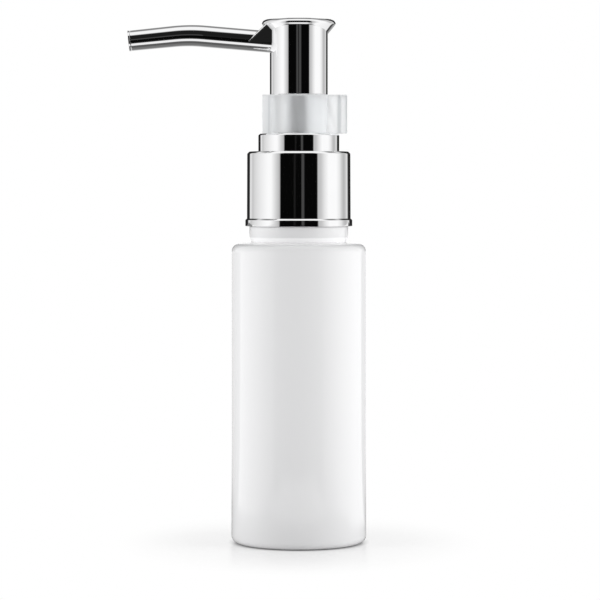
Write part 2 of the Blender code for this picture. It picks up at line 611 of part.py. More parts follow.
def build_piston(frame):
    """Lipped piston that floats on the rod between its flange and the stem's end."""
    floor = PISTON_Z + PISTON_FLOOR
    waist = PISTON_R - PISTON_WAIST
    corners = [
        (ROD_R + FIT_GAP, PISTON_Z), (PISTON_R, PISTON_Z), (PISTON_R, PISTON_Z + PISTON_LIP),
        (waist, PISTON_Z + PISTON_LIP + PISTON_LIP_TAPER),
        (waist, PISTON_TOP_Z - PISTON_LIP - PISTON_LIP_TAPER),
        (PISTON_R, PISTON_TOP_Z - PISTON_LIP), (PISTON_R, PISTON_TOP_Z),
        (STEM_R + FIT_GAP, PISTON_TOP_Z), (STEM_R + FIT_GAP, floor), (ROD_R + FIT_GAP, floor),
    ]
    mesh = turned_mesh("piston", corners)
    add_piece("piston", mesh, frame, finish("piston_plastic", (0.78, 0.8, 0.82), 0.5))


def nozzle_height(x):
    """Height of the nozzle's axis at a distance x in front of the bottle's axis."""
    rise = NOZZLE_BEND_RISE / (NOZZLE_BEND_X - SKIRT_R)
    fall = NOZZLE_TIP_DROP / (NOZZLE_TIP_X - NOZZLE_BEND_X)
    peak = NOZZLE_Z + NOZZLE_BEND_RISE
    start = NOZZLE_BEND_X - NOZZLE_BEND_SPREAD
    along = min(max(x - start, 0.0), 2 * NOZZLE_BEND_SPREAD)
    curved = rise * along - (rise + fall) * along ** 2 / (4 * NOZZLE_BEND_SPREAD)
    before = peak - rise * NOZZLE_BEND_SPREAD - rise * max(start - x, 0.0)
    return before + curved - fall * max(x - NOZZLE_BEND_X - NOZZLE_BEND_SPREAD, 0.0)


def ring_points(centre, direction, radius, facets):
    """A ring of points square to a direction that lies in the XZ plane."""
    along = Vector(direction).normalized()
    side = Vector((0.0, 1.0, 0.0))
    up = side.cross(along)
    points = []
    for index in range(facets):
        angle = 2 * pi * index / facets
        points.append(Vector(centre) + radius * (cos(angle) * up + sin(angle) * side))
    return points


def nozzle_stations(start, end):
    """Distances along the nozzle, closer together in the bend."""
    first = NOZZLE_BEND_X - NOZZLE_BEND_SPREAD
    bend = [first + 2 * NOZZLE_BEND_SPREAD * step / NOZZLE_BEND_STEPS
            for step in range(NOZZLE_BEND_STEPS + 1)]
    return [start] + [x for x in bend if start < x < end] + [end]


def nozzle_rings(start, end, radius_at, facets=NOZZLE_FACETS):
    """Rings along the nozzle's axis, from start to end in front of the bottle's axis."""
    rings = []
    for x in nozzle_stations(start, end):
        ahead = nozzle_height(x + NOZZLE_PROBE) - nozzle_height(x - NOZZLE_PROBE)
        direction = (-2 * NOZZLE_PROBE, 0.0, ahead)
        rings.append(ring_points((-x, 0.0, nozzle_height(x)), direction, radius_at(x), facets))
    return rings


def nozzle_radius(x):
    """The nozzle tapers evenly from its root to its end."""
    share = (x - SKIRT_R) / (NOZZLE_TIP_X - SKIRT_R)
    return NOZZLE_ROOT_R + (NOZZLE_END_R - NOZZLE_ROOT_R) * share


def leaf_points(inset, height, share=1.0):
    """The head's top in plan: two arcs that meet in a point over the nozzle and opposite it."""
    radius = PAD_ARC_R - inset
    reach = acos(PAD_ARC_SHIFT / radius)
    points = []
    for side in (share, -share):
        for step in range(PAD_STEPS):
            angle = reach * (2 * step / PAD_STEPS - 1)
            across = PAD_ARC_SHIFT - radius * cos(angle)
            points.append((side * radius * sin(angle), side * across, height))
    return points


def gusset_mesh():
    """Wedge between the nozzle's root and the flare: flat sides and one slope."""
    half = NOZZLE_ROOT_R - GUSSET_FLAT
    foot_x = SKIRT_R + GUSSET_REACH
    foot_z = nozzle_height(foot_x)
    top_z = FLARE_TOP_Z - GUSSET_TOP_DROP
    top_arc_r = PAD_ARC_R - GUSSET_TOP_DROP * FLARE_SPREAD / FLARE_HEIGHT
    top_x = sqrt(top_arc_r ** 2 - (half + PAD_ARC_SHIFT) ** 2)
    corners = [(foot_x, foot_z), (top_x, top_z), (SPOUT_START_X, top_z),
               (SPOUT_START_X, nozzle_height(SPOUT_START_X))]
    rings = [[(-x, side, z) for x, z in corners] for side in (-half, half)]
    return lofted_mesh("gusset_form", rings)


def build_head_shell(frame):
    """Plated moulding: skirt, flared top, gusset and nozzle, open at the top for its cap."""
    corners = [(0.0, SKIRT_Z), (SKIRT_R, SKIRT_Z), (SKIRT_R, FLARE_TOP_Z), (0.0, FLARE_TOP_Z)]
    mesh = turned_mesh("head_shell", corners, SHOWN_FACETS)
    shell = add_piece("head_shell", mesh, frame, finish("head_chrome", (0.9, 0.9, 0.91), 0.06, 1.0))
    pad_levels = ((FLARE_SPREAD, FLARE_Z), (0.0, FLARE_TOP_Z), (RIM_FACE_DRAFT, RIM_FACE_TOP_Z),
                  (RIM_SLOPE_INSET, HEAD_RIM_Z))
    pad = lofted_mesh("pad_form", [leaf_points(inset, height) for inset, height in pad_levels])
    combine(shell, add_piece("pad_form", pad, frame), "UNION")
    spout_end = NOZZLE_TIP_X - TIP_FLANGE - FIT_GAP
    spout = lofted_mesh("spout_form", nozzle_rings(SPOUT_START_X, spout_end, nozzle_radius))
    combine(shell, add_piece("spout_form", spout, frame), "UNION")
    combine(shell, add_piece("gusset_form", gusset_mesh(), frame), "UNION")
    foot = SKIRT_Z - FORM_OVERCUT
    top = HEAD_RIM_Z + FORM_OVERCUT
    cavity_corners = [(0.0, foot), (SKIRT_BORE_R, foot), (SKIRT_BORE_R, top), (0.0, top)]
    cavity = turned_mesh("head_cavity_form", cavity_corners, SHOWN_FACETS)
    combine(shell, add_piece("head_cavity_form", cavity, frame), "DIFFERENCE")
    seat = lofted_mesh("cap_seat_form", [leaf_points(RIM_WALL, CAP_SEAT_Z), leaf_points(RIM_WALL, top)])
    combine(shell, add_piece("cap_seat_form", seat, frame), "DIFFERENCE")
    bore = lofted_mesh("nozzle_bore_form", nozzle_rings(
        SPOUT_START_X - FORM_OVERCUT, spout_end + FORM_OVERCUT, lambda x: NOZZLE_BORE_R, BORE_FACETS))
    combine(shell, add_piece("nozzle_bore_form", bore, frame), "DIFFERENCE")


def build_head_cap(frame):
    """Domed leaf pressed into the top of the head, with a spigot that holds the core down."""
    inset = RIM_WALL + FIT_GAP
    under = CAP_SEAT_Z + FIT_GAP
    rings = [leaf_points(inset, under)]
    for step in range(CAP_STEPS):
        share = 1 - step / CAP_STEPS
        last = 1 / CAP_STEPS
        height = HEAD_RIM_Z + CAP_RISE * (1 - share ** 2) / (1 - last ** 2)
        rings.append(leaf_points(inset, height, share))
    mesh = lofted_mesh("head_cap", rings)
    cap = add_piece("head_cap", mesh, frame, finish("cap_chrome", (0.9, 0.9, 0.91), 0.06, 1.0))
    foot = ACTUATOR_TOP_Z + FIT_GAP
    bore = CAP_SPIGOT_R - CAP_SPIGOT_WALL
    corners = [(bore, foot), (CAP_SPIGOT_R, foot), (CAP_SPIGOT_R, HEAD_RIM_Z), (bore, HEAD_RIM_Z)]
    spigot = turned_mesh("cap_spigot_form", corners, SHOWN_FACETS)
    combine(cap, add_piece("cap_spigot_form", spigot, frame), "UNION")


def build_actuator_core(frame):
    """Moulded core: a boss that takes the stem, and a channel that turns into the nozzle."""
    disc_r = SKIRT_BORE_R - FIT_GAP
    boss_foot = GUIDE_FLOOR_Z + STROKE + BOSS_MARGIN
    socket_top = ACTUATOR_Z + FIT_GAP
    corners = [
        (GUIDE_BORE_R, boss_foot), (BOSS_R, boss_foot), (BOSS_R, ACTUATOR_Z), (disc_r, ACTUATOR_Z),
        (disc_r, ACTUATOR_TOP_Z), (0.0, ACTUATOR_TOP_Z), (0.0, socket_top), (GUIDE_BORE_R, socket_top),
    ]
    mesh = turned_mesh("actuator_core", corners, SHOWN_FACETS)
    core = add_piece("actuator_core", mesh, frame, finish("core_plastic", (0.8, 0.8, 0.8), 0.5))
    well = [(0.0, socket_top - FIT_GAP), (NOZZLE_BORE_R, socket_top - FIT_GAP),
            (NOZZLE_BORE_R, nozzle_height(0.0)), (0.0, nozzle_height(0.0))]
    well_mesh = turned_mesh("well_form", well, BORE_FACETS)
    combine(core, add_piece("well_form", well_mesh, frame), "DIFFERENCE")
    port = lofted_mesh("port_form", nozzle_rings(0.0, SKIRT_R, lambda x: NOZZLE_BORE_R, BORE_FACETS))
    combine(core, add_piece("port_form", port, frame), "DIFFERENCE")


def build_nozzle_liner(frame):
    """Inner tube from the core's channel to the tip insert."""
    end = NOZZLE_TIP_X - TIP_FLANGE - TIP_SPIGOT - FIT_GAP
    outer = lofted_mesh("nozzle_liner", nozzle_rings(LINER_START_X, end, lambda x: LINER_R, BORE_FACETS))
    liner = add_piece("nozzle_liner", outer, frame, finish("liner_plastic", (0.8, 0.82, 0.82), 0.4))
    bore = lofted_mesh("liner_bore_form", nozzle_rings(
        LINER_START_X - FORM_OVERCUT, end + FORM_OVERCUT, lambda x: LINER_BORE_R, SMALL_BORE_FACETS))
    combine(liner, add_piece("liner_bore_form", bore, frame), "DIFFERENCE")


def build_nozzle_tip(frame):
    """Ring insert that closes the nozzle's end round the outlet."""
    flange_x = NOZZLE_TIP_X - TIP_FLANGE
    spigot = nozzle_rings(flange_x - TIP_SPIGOT, flange_x, lambda x: LINER_R)
    flange_r = NOZZLE_END_R + TIP_LIP
    flange = nozzle_rings(flange_x, NOZZLE_TIP_X, lambda x: flange_r)
    mesh = lofted_mesh("nozzle_tip", spigot + flange)
    tip = add_piece("nozzle_tip", mesh, frame, finish("tip_chrome", (0.88, 0.88, 0.89), 0.1, 1.0))
    bore = lofted_mesh("tip_bore_form", nozzle_rings(
        flange_x - TIP_SPIGOT - FORM_OVERCUT, NOZZLE_TIP_X + FORM_OVERCUT, lambda x: TIP_BORE_R,
        SMALL_BORE_FACETS))
    combine(tip, add_piece("tip_bore_form", bore, frame), "DIFFERENCE")


def clip_half(draft):
    """Plan points of the clip's half at +Y: round the outside from the tab, and back inside."""
    outer_r = CLIP_BORE_R + CLIP_WALL - draft
    mouth = CHIMNEY_R + FIT_GAP
    lip_y = mouth + CLIP_LIP_WALL
    lip_x = draft - CLIP_LIP_X
    bead_x = CLIP_TAB_X - CLIP_TAB_BEAD
    outside = []
    bead_end = pi - asin(CLIP_TAB_NECK / CLIP_TAB_BEAD)
    for step in range(CLIP_BEAD_STEPS + 1):
        angle = bead_end * step / CLIP_BEAD_STEPS
        outside.append((bead_x + CLIP_TAB_BEAD * cos(angle), CLIP_TAB_BEAD * sin(angle)))
    first = asin(CLIP_TAB_NECK / outer_r)
    last = pi - asin(lip_y / outer_r)
    for step in range(CLIP_ARC_STEPS + 1):
        angle = first + (last - first) * step / CLIP_ARC_STEPS
        outside.append((outer_r * cos(angle), outer_r * sin(angle)))
    outside.append((lip_x, lip_y + CLIP_LIP_SPREAD))
    inside = [(lip_x, mouth + CLIP_LIP_SPREAD)]
    start = pi - asin(mouth / CLIP_BORE_R)
    for step in range(CLIP_ARC_STEPS + 1):
        angle = start * (1 - step / CLIP_ARC_STEPS)
        inside.append((CLIP_BORE_R * cos(angle), CLIP_BORE_R * sin(angle)))
    return outside + inside


def build_lock_clip(frame):
    """C-shaped snap clip with a pull tab opposite its mouth. It narrows a little downwards."""
    rings = []
    for height, draft in ((CLIP_Z, CLIP_DRAFT), (CLIP_Z + CLIP_HEIGHT, 0.0)):
        half = clip_half(draft)
        ring = [(x, y, height) for x, y in half]
        ring += [(x, -y, height) for x, y in half[-2:0:-1]]
        rings.append(ring)
    mesh = lofted_mesh("lock_clip", rings)
    add_piece("lock_clip", mesh, frame, finish("clip_milky", (0.9, 0.91, 0.92), 0.35, 0.0, 0.8))


clear_scene()
bottle_frame = frame_at("bottle_frame", 0.0)
pump_frame = frame_at("pump_frame", RIM_Z)
closure_frame = frame_at("closure_frame", SHELL_Z)
valve_frame = frame_at("valve_frame", BALL_Z)
plunger_frame = frame_at("plunger_frame", STEM_Z)
head_frame = frame_at("head_frame", ACTUATOR_Z)
clip_frame = frame_at("clip_frame", CLIP_Z)

build_bottle(bottle_frame)
build_neck_gasket(pump_frame)
build_pump_housing(pump_frame)
build_stem_guide(pump_frame)
build_stem_seal(pump_frame)
build_valve_cage(pump_frame)
build_dip_tube(pump_frame)
build_return_spring(pump_frame)
build_inlet_ball(valve_frame)
build_closure_core(closure_frame)
build_collar_shell(closure_frame)
build_stem(plunger_frame)
build_piston_rod(plunger_frame)
build_piston(plunger_frame)
build_actuator_core(head_frame)
build_head_shell(head_frame)
build_head_cap(head_frame)
build_nozzle_liner(head_frame)
build_nozzle_tip(head_frame)
build_lock_clip(clip_frame)
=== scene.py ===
"""Looks of the pump bottle: a white moulded bottle under a bright-plated lotion pump.

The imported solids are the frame. Round pieces stand on the Z axis and the nozzle points
along -X. Sizes are in metres.
"""
from math import atan2, cos, degrees, pi, radians, sin, sqrt

import bmesh
import bpy
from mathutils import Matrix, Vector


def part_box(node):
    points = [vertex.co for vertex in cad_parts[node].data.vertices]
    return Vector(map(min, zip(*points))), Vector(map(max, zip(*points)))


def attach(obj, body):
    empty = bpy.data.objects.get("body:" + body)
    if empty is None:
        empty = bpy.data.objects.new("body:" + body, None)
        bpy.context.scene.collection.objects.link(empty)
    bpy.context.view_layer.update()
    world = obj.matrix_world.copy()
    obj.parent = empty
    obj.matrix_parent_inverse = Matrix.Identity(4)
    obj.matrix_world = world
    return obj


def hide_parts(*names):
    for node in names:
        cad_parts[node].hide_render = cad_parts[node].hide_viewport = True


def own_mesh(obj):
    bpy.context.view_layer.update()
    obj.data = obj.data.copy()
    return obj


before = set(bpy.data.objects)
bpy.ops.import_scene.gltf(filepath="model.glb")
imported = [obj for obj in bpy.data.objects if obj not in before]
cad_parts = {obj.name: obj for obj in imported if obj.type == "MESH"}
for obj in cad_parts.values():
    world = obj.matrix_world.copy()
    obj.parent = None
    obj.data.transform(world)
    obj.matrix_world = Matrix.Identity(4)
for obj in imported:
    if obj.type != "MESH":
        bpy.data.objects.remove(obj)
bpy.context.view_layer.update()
MM = 0.001

# The camera stands level with the collar, almost three quarters of a metre away, and looks
# down a little. Its long lens keeps the bottle's sides parallel.
CAMERA_PLACE = (0.33 * MM, -727.0 * MM, 99.3 * MM)
CAMERA_TILT = radians(87.428)
CAMERA_LENS = 159.25
CAMERA_SENSOR = 36.0

bpy.ops.object.camera_add(location=CAMERA_PLACE, rotation=(CAMERA_TILT, 0.0, 0.0))
camera = bpy.context.object
camera.name = "camera"
camera.data.lens = CAMERA_LENS
camera.data.sensor_width = CAMERA_SENSOR
bpy.context.scene.camera = camera
bpy.context.scene.view_settings.view_transform = "Standard"


# The studio is a ring of screens round the bottle, which the bright plating mirrors: black
# cloth before it, white diffusers at both sides, narrow black flags at the white backdrop's
# two edges, and a white ceiling panel. The camera itself sees plain white.
def grey(level):
    """A grey as a colour with its alpha."""
    return (level, level, level, 1.0)


BLACK = grey(0.0)
WHITE = grey(1.0)
TO_DEGREES = degrees(1.0)


class Wire:
    """One output of a shader's nodes. Arithmetic on it adds Math nodes to its tree."""

    def __init__(self, tree, socket=None):
        self.tree = tree
        self.socket = socket

    def node(self, kind, settings=None, sockets=None, output=0):
        """Add a node: its settings first, then the values or wires of its sockets."""
        made = self.tree.nodes.new("ShaderNode" + kind)
        for setting, value in (settings or {}).items():
            if setting == "stops":
                elements = made.color_ramp.elements
                elements[0].position, elements[1].position = value[0][0], value[-1][0]
                for position, _ in value[1:-1]:
                    elements.new(position)
                for element, (_, level) in zip(elements, value):
                    element.color = grey(level)
            else:
                setattr(made, setting, value)
        for name, value in (sockets or {}).items():
            if isinstance(value, Wire):
                self.tree.links.new(value.socket, made.inputs[name])
            else:
                made.inputs[name].default_value = value
        return Wire(self.tree, made.outputs[output] if made.outputs else None)

    def output(self, name):
        """Another output of the same node."""
        return Wire(self.tree, self.socket.node.outputs[name])

    def into(self, node, name):
        """Lead this wire into a node's socket."""
        self.tree.links.new(self.socket, node.inputs[name])

    def maths(self, operation, first, second=0.0):
        """A Math node on one or two values or wires."""
        return self.node("Math", {"operation": operation}, {0: first, 1: second})

    def __add__(self, other):
        return self.maths("ADD", self, other)

    def __sub__(self, other):
        return self.maths("SUBTRACT", self, other)

    def __rsub__(self, other):
        return self.maths("SUBTRACT", other, self)

    def __mul__(self, other):
        return self.maths("MULTIPLY", self, other)

    def __truediv__(self, other):
        return self.maths("DIVIDE", self, other)

    def __neg__(self):
        return self.maths("MULTIPLY", self, -1.0)

    __radd__ = __add__
    __rmul__ = __mul__

    def step(self, low, high):
        """0 below low and 1 above high, with a smooth change between them."""
        return self.node("MapRange", {"interpolation_type": "SMOOTHSTEP"},
                         {0: self, 1: low, 2: high})

    def band(self, start, full, fading, end):
        """1 from full to fading and 0 outside start and end, with smooth changes."""
        return self.step(start, full) * (1.0 - self.step(fading, end))

    def ramp(self, stops, low, high):
        """Brightness by this wire's value, from (value, brightness) stops within low to high."""
        places = [((value - low) / (high - low), level) for value, level in stops]
        return self.node("ValToRGB", {"stops": places}, {0: (self - low) / (high - low)})

    def blend(self, first, second):
        """The first colour where this wire is 0 and the second where it is 1."""
        return self.node("Mix", {"data_type": "RGBA"}, {0: self, 6: first, 7: second}, output=2)


# Brightness round the horizon, by degrees to the left (below 0) and right of the camera's side
SCREEN_RING = [(-175, 1.05), (-172, 0.02), (-143, 0.02), (-140, 0.40), (-137, 0.95), (-130, 0.70),
               (-123, 0.60), (-118, 0.70), (-110, 0.77), (-80, 1.00), (-72, 1.05), (-64, 1.04),
               (-48, 0.62), (-43, 0.50), (-41, 0.002), (41.5, 0.002), (43, 0.55), (50, 0.60),
               (60, 0.86), (70, 1.05), (92, 1.05), (104, 0.86), (112, 0.62), (120, 0.50),
               (128, 0.62), (136, 0.85), (140, 0.30), (143, 0.02), (172, 0.02), (175, 1.05)]
# Dim strips of the room in the black cloth, by the same degrees: where each starts, is full,
# fades and ends. The collar and the step mirror the first two, and the head the third.
COLLAR_GLEAM = (5.0, 7.0, 10.5, 13.5)
COLLAR_GLEAM_LEVEL = 0.06
SIDE_GLEAM = (-12.0, -10.0, -8.0, -6.0)
SIDE_GLEAM_LEVEL = 0.010
HEAD_GLEAM = (-12.0, -7.0, 8.0, 11.0)
HEAD_GLEAM_LEVEL = 0.060
LENS_SHADE = (-2.8, -1.8, 0.0, 1.0)     # the lens stands dark in the head's strip
LENS_SHADE_LEVEL = 0.8
HEAD_GLEAM_FROM = (1.2, 1.5)            # degrees above the horizon, as are the next two
GLEAM_FADE = (8.0, 14.0)                # and the same below
CLOTH_HAZE_FROM = (6.0, 12.0)
CLOTH_HAZE = 0.01                       # its brightness
# Brightness over the top, by degrees from the horizon before the bottle to that behind it
CEILING = [(0, 0.012), (50, 0.012), (64, 1.0), (101, 1.0), (110, 0.26), (144, 0.26), (152, 1.0),
           (180, 1.0)]
CEILING_SOFT = 0.72                     # what the ceiling gives to matt surfaces
CEILING_EDGE_FRONT = 55.0               # degrees above the horizon
CEILING_EDGE_BACK = 33.0
CEILING_EDGE_TURN = (90.0, 180.0)       # degrees round, over which its edge comes down
CEILING_SOFTNESS = 5.0
BACKDROP_EDGE = 0.1                     # softness, as a sine, of the white behind the clip

world = bpy.data.worlds.new("studio")
bpy.context.scene.world = world
world.use_nodes = True
sky = Wire(world.node_tree)
toward = sky.node("SeparateXYZ", sockets={0: sky.node("TexCoord", output="Generated")})
to_side, to_front, to_top = toward.output("X"), -toward.output("Y"), toward.output("Z")
round_angle = sky.maths("ARCTAN2", to_side, to_front) * TO_DEGREES
over_angle = sky.maths("ARCTAN2", to_top, to_front) * TO_DEGREES
height_angle = sky.maths("ARCSINE", to_top) * TO_DEGREES
screens = round_angle.ramp(SCREEN_RING, -180.0, 180.0)
collar_gleams = (round_angle.band(*COLLAR_GLEAM) * COLLAR_GLEAM_LEVEL
                 + round_angle.band(*SIDE_GLEAM) * SIDE_GLEAM_LEVEL)
head_gleam = (round_angle.band(*HEAD_GLEAM) * HEAD_GLEAM_LEVEL
              * (1.0 - round_angle.band(*LENS_SHADE) * LENS_SHADE_LEVEL))
at_head = height_angle.step(*HEAD_GLEAM_FROM)
gleams = collar_gleams * (1.0 - at_head) + head_gleam * at_head
near_horizon = 1.0 - sky.maths("ABSOLUTE", height_angle).step(*GLEAM_FADE)
haze = gleams * near_horizon + height_angle.step(*CLOTH_HAZE_FROM) * CLOTH_HAZE
ring = haze.blend(screens, WHITE)
ceiling = over_angle.ramp(CEILING, 0.0, 180.0)
turned_away = sky.maths("ABSOLUTE", round_angle).step(*CEILING_EDGE_TURN)
ceiling_edge = CEILING_EDGE_FRONT + turned_away * (CEILING_EDGE_BACK - CEILING_EDGE_FRONT)
overhead = (height_angle - ceiling_edge).step(-CEILING_SOFTNESS, CEILING_SOFTNESS)
light_path = sky.node("LightPath", output="Is Camera Ray")
softened = light_path.output("Is Diffuse Ray").blend(ceiling, grey(CEILING_SOFT))
studio_light = overhead.blend(ring, softened)
behind = 1.0 - to_front.step(-BACKDROP_EDGE, BACKDROP_EDGE)
plain_white = light_path + light_path.output("Is Transmission Ray") * behind
seen = plain_white.blend(studio_light, WHITE)
seen.into(world.node_tree.nodes["Background"], "Color")

# Two large soft lamps stand at both sides, the right one a little stronger. The plating
# mirrors the screens and not the lamps.
LAMP_REACH = 1.1
LAMP_HEIGHT = 0.35
LAMP_TILT = radians(76)
LAMP_SIZE = 0.75
SIDE_LAMPS = [("left_lamp", -radians(72), 4.55), ("right_lamp", radians(72), 5.75)]

for name, side, power in SIDE_LAMPS:
    place = (LAMP_REACH * sin(side), -LAMP_REACH * cos(side), LAMP_HEIGHT)
    bpy.ops.object.light_add(type="AREA", location=place, rotation=(LAMP_TILT, 0.0, side))
    lamp = bpy.context.object
    lamp.name = name
    lamp.data.shape = "SQUARE"
    lamp.data.size = LAMP_SIZE
    lamp.data.energy = power
    lamp.visible_glossy = False
    lamp.visible_transmission = False
    lamp.visible_camera = False


# A smooth white table top. The plating mirrors it as the photograph shows it, in painted
# brightness that only reflections see: dim beside the bottle, a bright strip before it and dark
# beyond that. Distances here are in millimetres.
FLOOR_SIZE = 8.0                        # metres
FLOOR_WHITE = 0.55
FLOOR_GRAIN = 0.01
FLOOR_LIFT = 0.33                       # a faint glow that keeps the table white outside the foot; left out at the foot as a painted contact shadow
# Painted contact shadow: the glow rises over these millimetres from the axis
PAINTED_CONTACT_SHADOW_EDGE = (16.5, 20.0)
FLOOR_FADE = (20.0, 52.0)               # where the soft shadow turns into plain white
FLOOR_FADE_DEPTH = 0.8                  # it reaches further before and behind the bottle
# Brightness in the plating, from behind the bottle to before it
FLOOR_STRIPS = [(-260, 0.70), (-140, 0.42), (-80, 0.19), (-10, 0.19), (12, 0.10), (50, 0.11),
                (72, 0.14), (80, 0.95), (180, 0.95), (197, 0.04), (340, 0.005), (500, 0.005)]
# Further out the gloss mirrors the side screens instead: to the left and right, all round,
# and nearer by in a wedge of degrees at the right.
FLOOR_SIDE = (65.0, 105.0)
FLOOR_EDGE = (260.0, 320.0)
FLOOR_WEDGE = (80.0, 88.0, 134.0, 135.0)
FLOOR_WEDGE_FROM = (40.0, 70.0)
# Brightness of the side screens in the table, by degrees to the left (below 0) and right
FLOOR_RING = [(-175, 1.05), (-165, 0.60), (-150, 0.40), (-140, 0.25), (-120, 0.22),
              (-119, 1.2), (-90, 1.05), (-70, 1.0),
              (-48, 0.62), (-43, 0.50), (-41, 0.002), (41.5, 0.002), (43, 0.55), (50, 0.60),
              (70, 1.05), (134, 0.90), (135, 0.03), (143, 0.10),
              (150, 0.40), (165, 0.60), (175, 1.05)]


def new_finish(name):
    """A material with its shader, and a wire to build its nodes with."""
    material = bpy.data.materials.new(name)
    material.use_nodes = True
    return material, material.node_tree.nodes["Principled BSDF"], Wire(material.node_tree)


bpy.ops.object.select_all(action="DESELECT")
bpy.ops.mesh.primitive_plane_add(size=FLOOR_SIZE)
floor = bpy.context.object
floor.name = "table"
floor_finish, floor_shader, top = new_finish("table_white")
floor_shader.inputs["Roughness"].default_value = 0.3
floor_shader.inputs["Specular IOR Level"].default_value = 0.5
floor_place = top.node("TexCoord", output="Object")
grain = top.node("TexNoise", sockets={"Vector": floor_place, "Scale": 40.0})
speckled = grain.blend(grey(FLOOR_WHITE - FLOOR_GRAIN), grey(FLOOR_WHITE + FLOOR_GRAIN))
speckled.into(floor_shader, "Base Color")
reach = top.node("VectorMath", {"operation": "LENGTH"}, {0: floor_place}, output="Value") / MM


def shining(colour):
    """Light of a colour, as bright as it is written."""
    return top.node("Emission", sockets={"Color": colour, "Strength": 1.0})


# The table's glow, left out round the foot as a painted contact shadow
lift_with_painted_contact_shadow = reach.step(*PAINTED_CONTACT_SHADOW_EDGE).blend(BLACK, grey(FLOOR_LIFT))
lit = top.node("AddShader", sockets={0: Wire(top.tree, floor_shader.outputs[0]), 1: shining(lift_with_painted_contact_shadow)})
around = top.node("VectorMath", {"operation": "MULTIPLY"},
                  {0: floor_place, 1: (1.0, FLOOR_FADE_DEPTH, 1.0)})
spread = top.node("VectorMath", {"operation": "LENGTH"}, {0: around}, output="Value") / MM
shown = top.node("MixShader", sockets={0: spread.step(*FLOOR_FADE), 1: lit, 2: shining(WHITE)})
spot = top.node("SeparateXYZ", sockets={0: floor_place})
rightward, forward = spot.output("X") / MM, -spot.output("Y") / MM
strips = forward.ramp(FLOOR_STRIPS, -260.0, 500.0)
spot_turn = top.maths("ARCTAN2", rightward, forward) * TO_DEGREES
screens_below = spot_turn.ramp(FLOOR_RING, -180.0, 180.0)
aside = top.maths("ABSOLUTE", rightward).step(*FLOOR_SIDE)
in_wedge = spot_turn.band(*FLOOR_WEDGE) * reach.step(*FLOOR_WEDGE_FROM)
far_aside = top.maths("MAXIMUM", aside, in_wedge)
far_out = top.maths("MAXIMUM", far_aside, reach.step(*FLOOR_EDGE))
# Painted reflection: the plating sees the table's brightness painted by place, not its lit surface
mirrored = shining(far_out.blend(strips, screens_below))
seen_in_plating = top.node("LightPath", output="Is Glossy Ray")
floor_top = top.node("MixShader", sockets={0: seen_in_plating, 1: shown, 2: mirrored})
floor_top.into(floor_finish.node_tree.nodes["Material Output"], "Surface")
floor.data.materials.append(floor_finish)


# The bottle is blow-moulded white polypropylene with a satin gloss: flat foot, round heel and
# shoulder, a bead for gripping it on the line, and a threaded neck under the collar. A faint
# painted glow lightens the groove under the bead, which lies in the collar's shade.
BODY_R = 18.4 * MM
HEEL_R = 18.55 * MM
HEEL_Z = 26.0 * MM                      # the heel has run out into the body here
HEEL_FILLET = 2.0 * MM
BODY_BORE_R = 17.2 * MM
INSIDE_FLOOR_Z = 1.6 * MM
INSIDE_FLOOR_R = 2.0 * MM               # the floor's last ring, which a flat face closes
INNER_FILLET = 1.0 * MM
BASE_PAD_R = 7.0 * MM
FOOT_BORE_R = 13.15 * MM                # inside of the ring that the bottle stands on
BASE_GROOVE = 0.6 * MM
SHOULDER_Z = 81.95 * MM
SHOULDER_FILLET = 1.9 * MM
SHOULDER_FLOOR_Z = 80.7 * MM
LAND_R = 13.0 * MM
LAND_Z = 82.62 * MM
LAND_HEIGHT = 0.33 * MM
LAND_SPREAD = 0.05 * MM
BEAD_R = 13.52 * MM
BEAD_Z = 83.85 * MM
BEAD_TOP_Z = 86.85 * MM
BEAD_LOWER_FILLET = 0.5 * MM
NECK_R = 10.8 * MM
NECK_BORE_R = 9.0 * MM
NECK_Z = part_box("bottle")[1][2]
RIM_FILLET = 0.2 * MM
FINE_FILLET = 0.15 * MM
THREAD_PITCH = 3.175 * MM
THREAD_START_Z = 95.6375 * MM
THREAD_DEPTH = 1.1 * MM
THREAD_SINK = 0.3 * MM                  # how far the ridge reaches into the neck's wall
THREAD_ROOT_WIDTH = 2.1 * MM
THREAD_CREST_WIDTH = 1.0 * MM
THREAD_TURN_STEPS = 30
THREAD_STEPS = 45
THREAD_FADE_STEPS = 3
THREAD_END_SHARE = 0.35                 # of the ridge's full size, at its two ends
NEAR = 0.02 * MM                        # places closer than this count as one
MERGE = 0.001 * MM
GROOVE_PAINTED_LIGHT = 0.20
GROOVE_PAINTED_LIGHT_Z = (82.4, 82.9, 83.6, 84.1)    # millimetres of height, where the painted light lies


def start_with(add_primitive, name, **size):
    """Add a primitive with nothing else selected, and put its place into its mesh."""
    bpy.ops.object.select_all(action="DESELECT")
    add_primitive(**size)
    piece = bpy.context.object
    piece.name = name
    piece.data.name = name
    bpy.ops.object.transform_apply(location=True, rotation=True, scale=True)
    return piece


def choose(piece):
    """Select only this piece, for the operators that follow."""
    bpy.ops.object.select_all(action="DESELECT")
    bpy.context.view_layer.objects.active = piece
    piece.select_set(True)


def pick(kind, test):
    """In edit mode, select only the vertices, edges or faces that pass the test."""
    bpy.ops.mesh.select_mode(type=kind)
    bpy.ops.mesh.select_all(action="DESELECT")
    mesh = bpy.context.object.data
    shape = bmesh.from_edit_mesh(mesh)
    for part in {"VERT": shape.verts, "EDGE": shape.edges, "FACE": shape.faces}[kind]:
        if test(part):
            part.select_set(True)
    shape.select_flush_mode()
    bmesh.update_edit_mesh(mesh)


def close_up():
    """In edit mode, merge doubled points and turn all faces outwards."""
    bpy.ops.mesh.select_mode(type="VERT")
    bpy.ops.mesh.select_all(action="SELECT")
    bpy.ops.mesh.remove_doubles(threshold=MERGE)
    bpy.ops.mesh.normals_make_consistent(inside=False)


